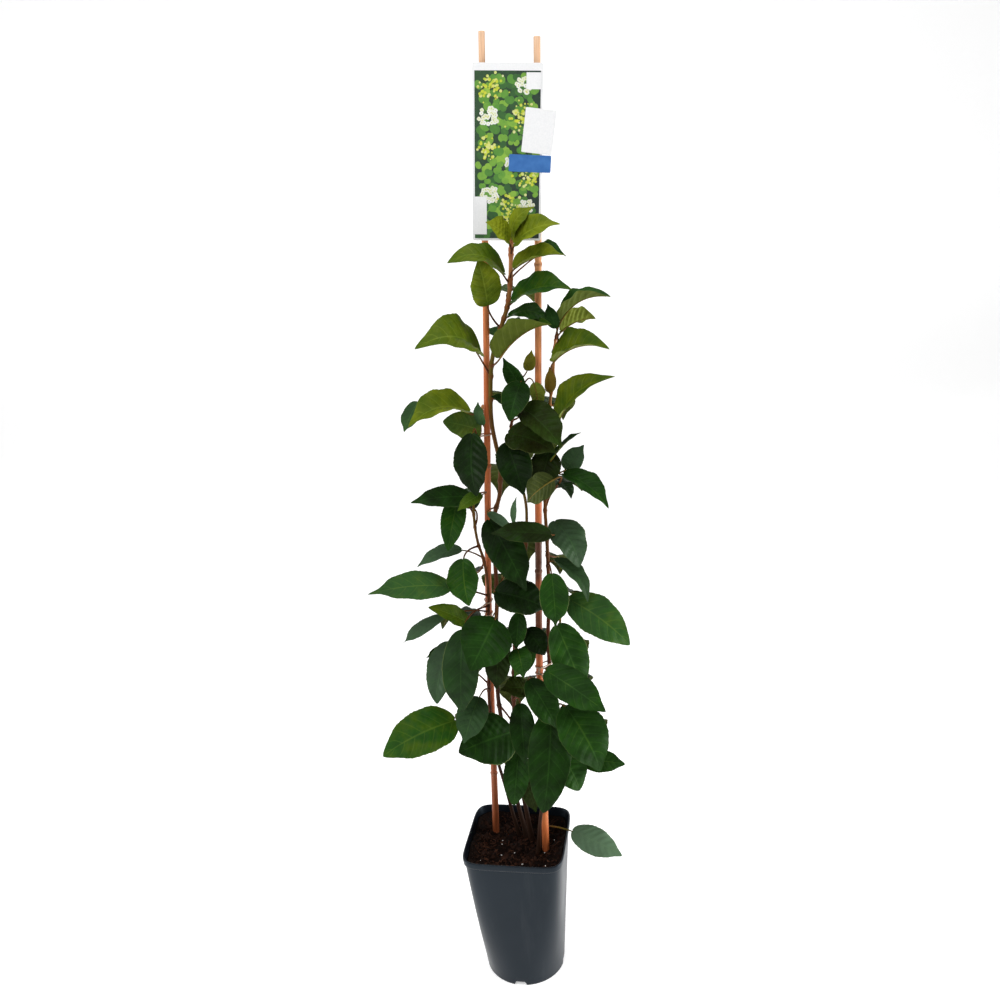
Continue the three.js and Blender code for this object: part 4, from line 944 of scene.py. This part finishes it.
# Print: overlapping heart-shaped leaves with dark gaps, rounded heads of four-petalled florets and
# sprays of dots, each kind a polar outline turned and sized at random
def makePrint():
    w, h = label["width"] / 2 - label["border"], label["height"] / 2 - label["border"]
    top = h - label["topMargin"] + label["border"]
    angle, dot = roundAngles(24), np.ones(24)
    heart = 0.60 + 0.40 * np.cos(angle) + 0.20 * np.abs(np.sin(angle))
    petal = 0.55 + 0.45 * np.cos(angle)
    skins, hues = [], []

    # lays one kind of shape on the panel, apart from those that would cross its edge
    def lay(centres, reach, sizes, spins, depth, hue):
        room = np.minimum(w - np.abs(centres[:, 0]), np.minimum(top - centres[:, 1], centres[:, 1] + h))
        inside = room > np.minimum(sizes * reach.max(), 4.0) * 0.9
        outline = (compass(angle) * reach[:, None])[:, :2] * sizes[inside, None, None]
        turned = outline @ turns(0, 1, spins[inside])[:, :2, :2].transpose(0, 2, 1)
        points, triangles = fanShapes(centres[inside], turned, depth)
        skins.append((points.clip([-w, -h, -h], [w, h, top]), triangles))
        hues.append(np.repeat(hue[inside], len(angle) + 1))

    x, z = np.meshgrid(np.arange(label["columns"]), np.arange(label["lines"]))
    x, z = x + 0.5 * (z % 2) - (label["columns"] - 0.5) / 2, z - (label["lines"] - 1) / 2
    spots = (np.stack([x, z], -1) * label["leafStep"]).reshape(-1, 2)
    spots = (spots + rng.normal(0, 1.5, spots.shape))[rng.permutation(len(spots))]
    count = len(spots)
    lay(spots, heart, rng.uniform(*label["leafSizes"], count), rng.uniform(-2.6, -0.5, count), -0.05,
        rng.uniform(0.10, 0.50, count))
    for x, z, width, count in label["heads"]:
        reach, way = width * np.sqrt(rng.uniform(0, 1, count)), rng.uniform(0, 2 * np.pi, count)
        middles = np.column_stack([x + reach * np.cos(way), z + 0.8 * reach * np.sin(way)])
        spin = rng.uniform(0, np.pi, count)
        fours = spin[:, None] + roundAngles(4)
        hue = np.repeat(rng.uniform(0.70, 0.9, count), 4)
        lay(np.repeat(middles, 4, 0), petal, np.full(4 * count, 2.0), fours.ravel(), -0.16, hue)
        lay(middles, dot, np.full(count, 0.45), spin, -0.3, np.full(count, 0.58))
    for x, z, width, count in label["sprays"]:
        middles = np.array([x, z]) + rng.normal(0, width / 2, (count, 2))
        lay(middles, dot, rng.uniform(0.7, 1.6, count), np.zeros(count), -0.34,
            rng.uniform(0.54, 0.64, count))
    panel = barePart(0, (label["border"] - label["topMargin"]) / 2, 2 * w, h + top, -0.03)
    points, triangles = together(skins)
    hue = np.concatenate([[0.05, 0.0, 0.02, 0.08], *hues])
    return *together([panel, (onLabel(points), triangles)]), dict(hue=hue)


# White card under a thin gloss, a little uneven in tone and height
def cardStock():
    card = Finish("cardStock", roughness=0.38, specular=0.5, coat=0.25, coatRoughness=0.2)
    colour = card.ramp(card.noise(700, 3), (0.3, 0.72, 0.725, 0.735), (0.7, 0.78, 0.78, 0.785))
    return card.shade(colour=colour, normal=card.bump(card.noise(60, 2), 0.08, 0.0006))


# Ink: colour by the hue of each shape, moved by noise
def printInk():
    ink = Finish("printInk", roughness=0.36, specular=0.5, coat=0.25, coatRoughness=0.2)
    drift = ink.drift(ink.shadeOf("hue"), ink.noise(240, 4, roughness=0.6), 0.16)
    return ink.shade(colour=ink.ramp(
        drift, (0, 0.012, 0.024, 0.02), (0.18, 0.03, 0.11, 0.022), (0.35, 0.085, 0.25, 0.03),
        (0.5, 0.24, 0.42, 0.045), (0.58, 0.52, 0.55, 0.03), (0.7, 0.66, 0.68, 0.5), (0.9, 0.74, 0.75, 0.74)))


# Straps: flat bands closed round the back of both canes and the back of the card
def makeStrap(height):
    left, right = (pointsAt(canes[name]["line"], height)[0] for name in ("caneLeft", "caneRight"))
    bend, half = label["strapBend"], label["strapThickness"] / 2
    reach = canes["caneRight"]["radius"][1] + label["strapGap"] + half
    low = np.array([left[0] - reach, label["front"] + label["thickness"] + 0.2])
    high = np.array([right[0], max(left[1], right[1])]) + reach
    way = compass(roundAngles(80))
    middle = np.column_stack([np.where(way[:, :2] > 0, high - bend, low + bend), np.full(80, height)])
    tall = np.array([0, 0, label["strapHeight"] / 2])
    inner, outer = middle + way * (bend - half), middle + way * (bend + half)
    rings = np.stack([inner - tall, inner + tall, outer + tall, outer - tall], 1)
    return rings.reshape(-1, 3), gridTriangles(81, 4, True) % 320


cardPoints, cardTriangles = makeCard(label["width"], label["height"], label["thickness"], label["corner"])
whiteCard = cardStock()
dress("labelCard", "label", ["label"], (onLabel(cardPoints), cardTriangles), whiteCard, smooth=False)
dress("labelPrint", "label", [], makePrint(), printInk(), smooth=False)
bareParts = together([barePart(*label[part], -0.4) for part in ("bareStrip", "barePatch")])
dress("labelBareParts", "label", [], bareParts, whiteCard, smooth=False)
straps = together([makeStrap(height) for height in label["strapHeights"]])
dress("labelStraps", "label", [], straps, whiteCard, smooth=False)

# Tag: a blank white price card with a blue band under it, stuck on the label's right side
tag = dict(thickness=0.7, front=-0.8, corner=1.2, cardCentre=(69.4, 976), cardSize=(30, 41), cardLean=10,
           bandCentre=(59, 947), bandSize=(41, 16), bandLean=6)


# Blue plastic: soft noise between two blues
def bandPlastic():
    band = Finish("bandPlastic", roughness=0.3, specular=0.5)
    soft = band.noise(120, 3)
    return band.shade(colour=band.ramp(soft, (0.3, 0.025, 0.11, 0.33), (0.7, 0.045, 0.16, 0.42)),
                      normal=band.bump(soft, 0.08, 0.0004))


for part, finish in (("card", whiteCard), ("band", bandPlastic())):
    node = "tag_" + part
    points, triangles = makeCard(*tag[part + "Size"], tag["thickness"], tag["corner"])
    points = onCard(points, tag[part + "Centre"], tag[part + "Lean"], tag["front"])
    dress("tag" + part.capitalize(), node, [node], (points, triangles), finish, smooth=False)
print("label and tag made")

# Studio: a white floor that curves up into a wall, soft panels and a pale surround. A panel is its place,
# the place it faces, its size in m and its power in W
studio = dict(width=5200, depth=3200, near=-2600, curve=500, wall=3600, glow=0.4, world=0.35, panels=dict(
    keyPanel=((-0.9, -1.6, 1.9), (0, 0, 0.45), (1.2, 1.2), 20),
    rightPanel=((1.2, -0.15, 0.3), (0, 0, 0.12), (0.5, 0.8), 18),
    leftPanel=((-1.2, -0.1, 0.3), (0, 0, 0.12), (0.4, 0.8), 10),
    overheadPanel=((0.1, -0.2, 2.3), (0, 0, 0.5), (1.6, 1.6), 22)))


# Backdrop: a profile of flat floor, quarter circle and wall, carried straight from side to side
def makeBackdrop():
    foot, curve = studio["depth"] - studio["curve"], studio["curve"]
    bend = np.linspace(0, np.pi / 2, 14)[1:]
    flat = np.linspace(studio["near"], foot, 6)
    y = np.concatenate([flat, foot + curve * np.sin(bend), [studio["depth"]]])
    z = np.concatenate([0 * flat, curve * (1 - np.cos(bend)), [studio["wall"]]])
    x, y = np.meshgrid(np.array([-1, 1]) * studio["width"] / 2, y)
    return np.stack([x, y, np.column_stack([z, z])], -1).reshape(-1, 3), gridTriangles(len(z), 2)


paper = Finish("studioPaper", colour=(0.92, 0.92, 0.92, 1), roughness=0.9, glowColour=(1, 1, 1, 1),
               glow=studio["glow"])
backdrop = meshPiece("studioBackdrop", makeBackdrop(), [paper.material])

for name, (place, target, size, power) in studio["panels"].items():
    light = bpy.data.lights.new(name, "AREA")
    light.shape, light.size, light.size_y, light.energy = "RECTANGLE", *size, power
    back = unit(np.subtract(place, target))
    sideways = unit(np.cross([0, 0, 1.0], back))
    basis = Matrix(np.column_stack([sideways, np.cross(back, sideways), back]).tolist())
    addObject(name, light).matrix_world = Matrix.Translation(place) @ basis.to_4x4()
world = bpy.data.worlds.new("studioAir")
world.use_nodes = True
world.node_tree.nodes["Background"].inputs["Color"].default_value = (1, 1, 1, 1)
world.node_tree.nodes["Background"].inputs["Strength"].default_value = studio["world"]
bpy.context.scene.world = world
bpy.context.scene.view_settings.view_transform = "Standard"
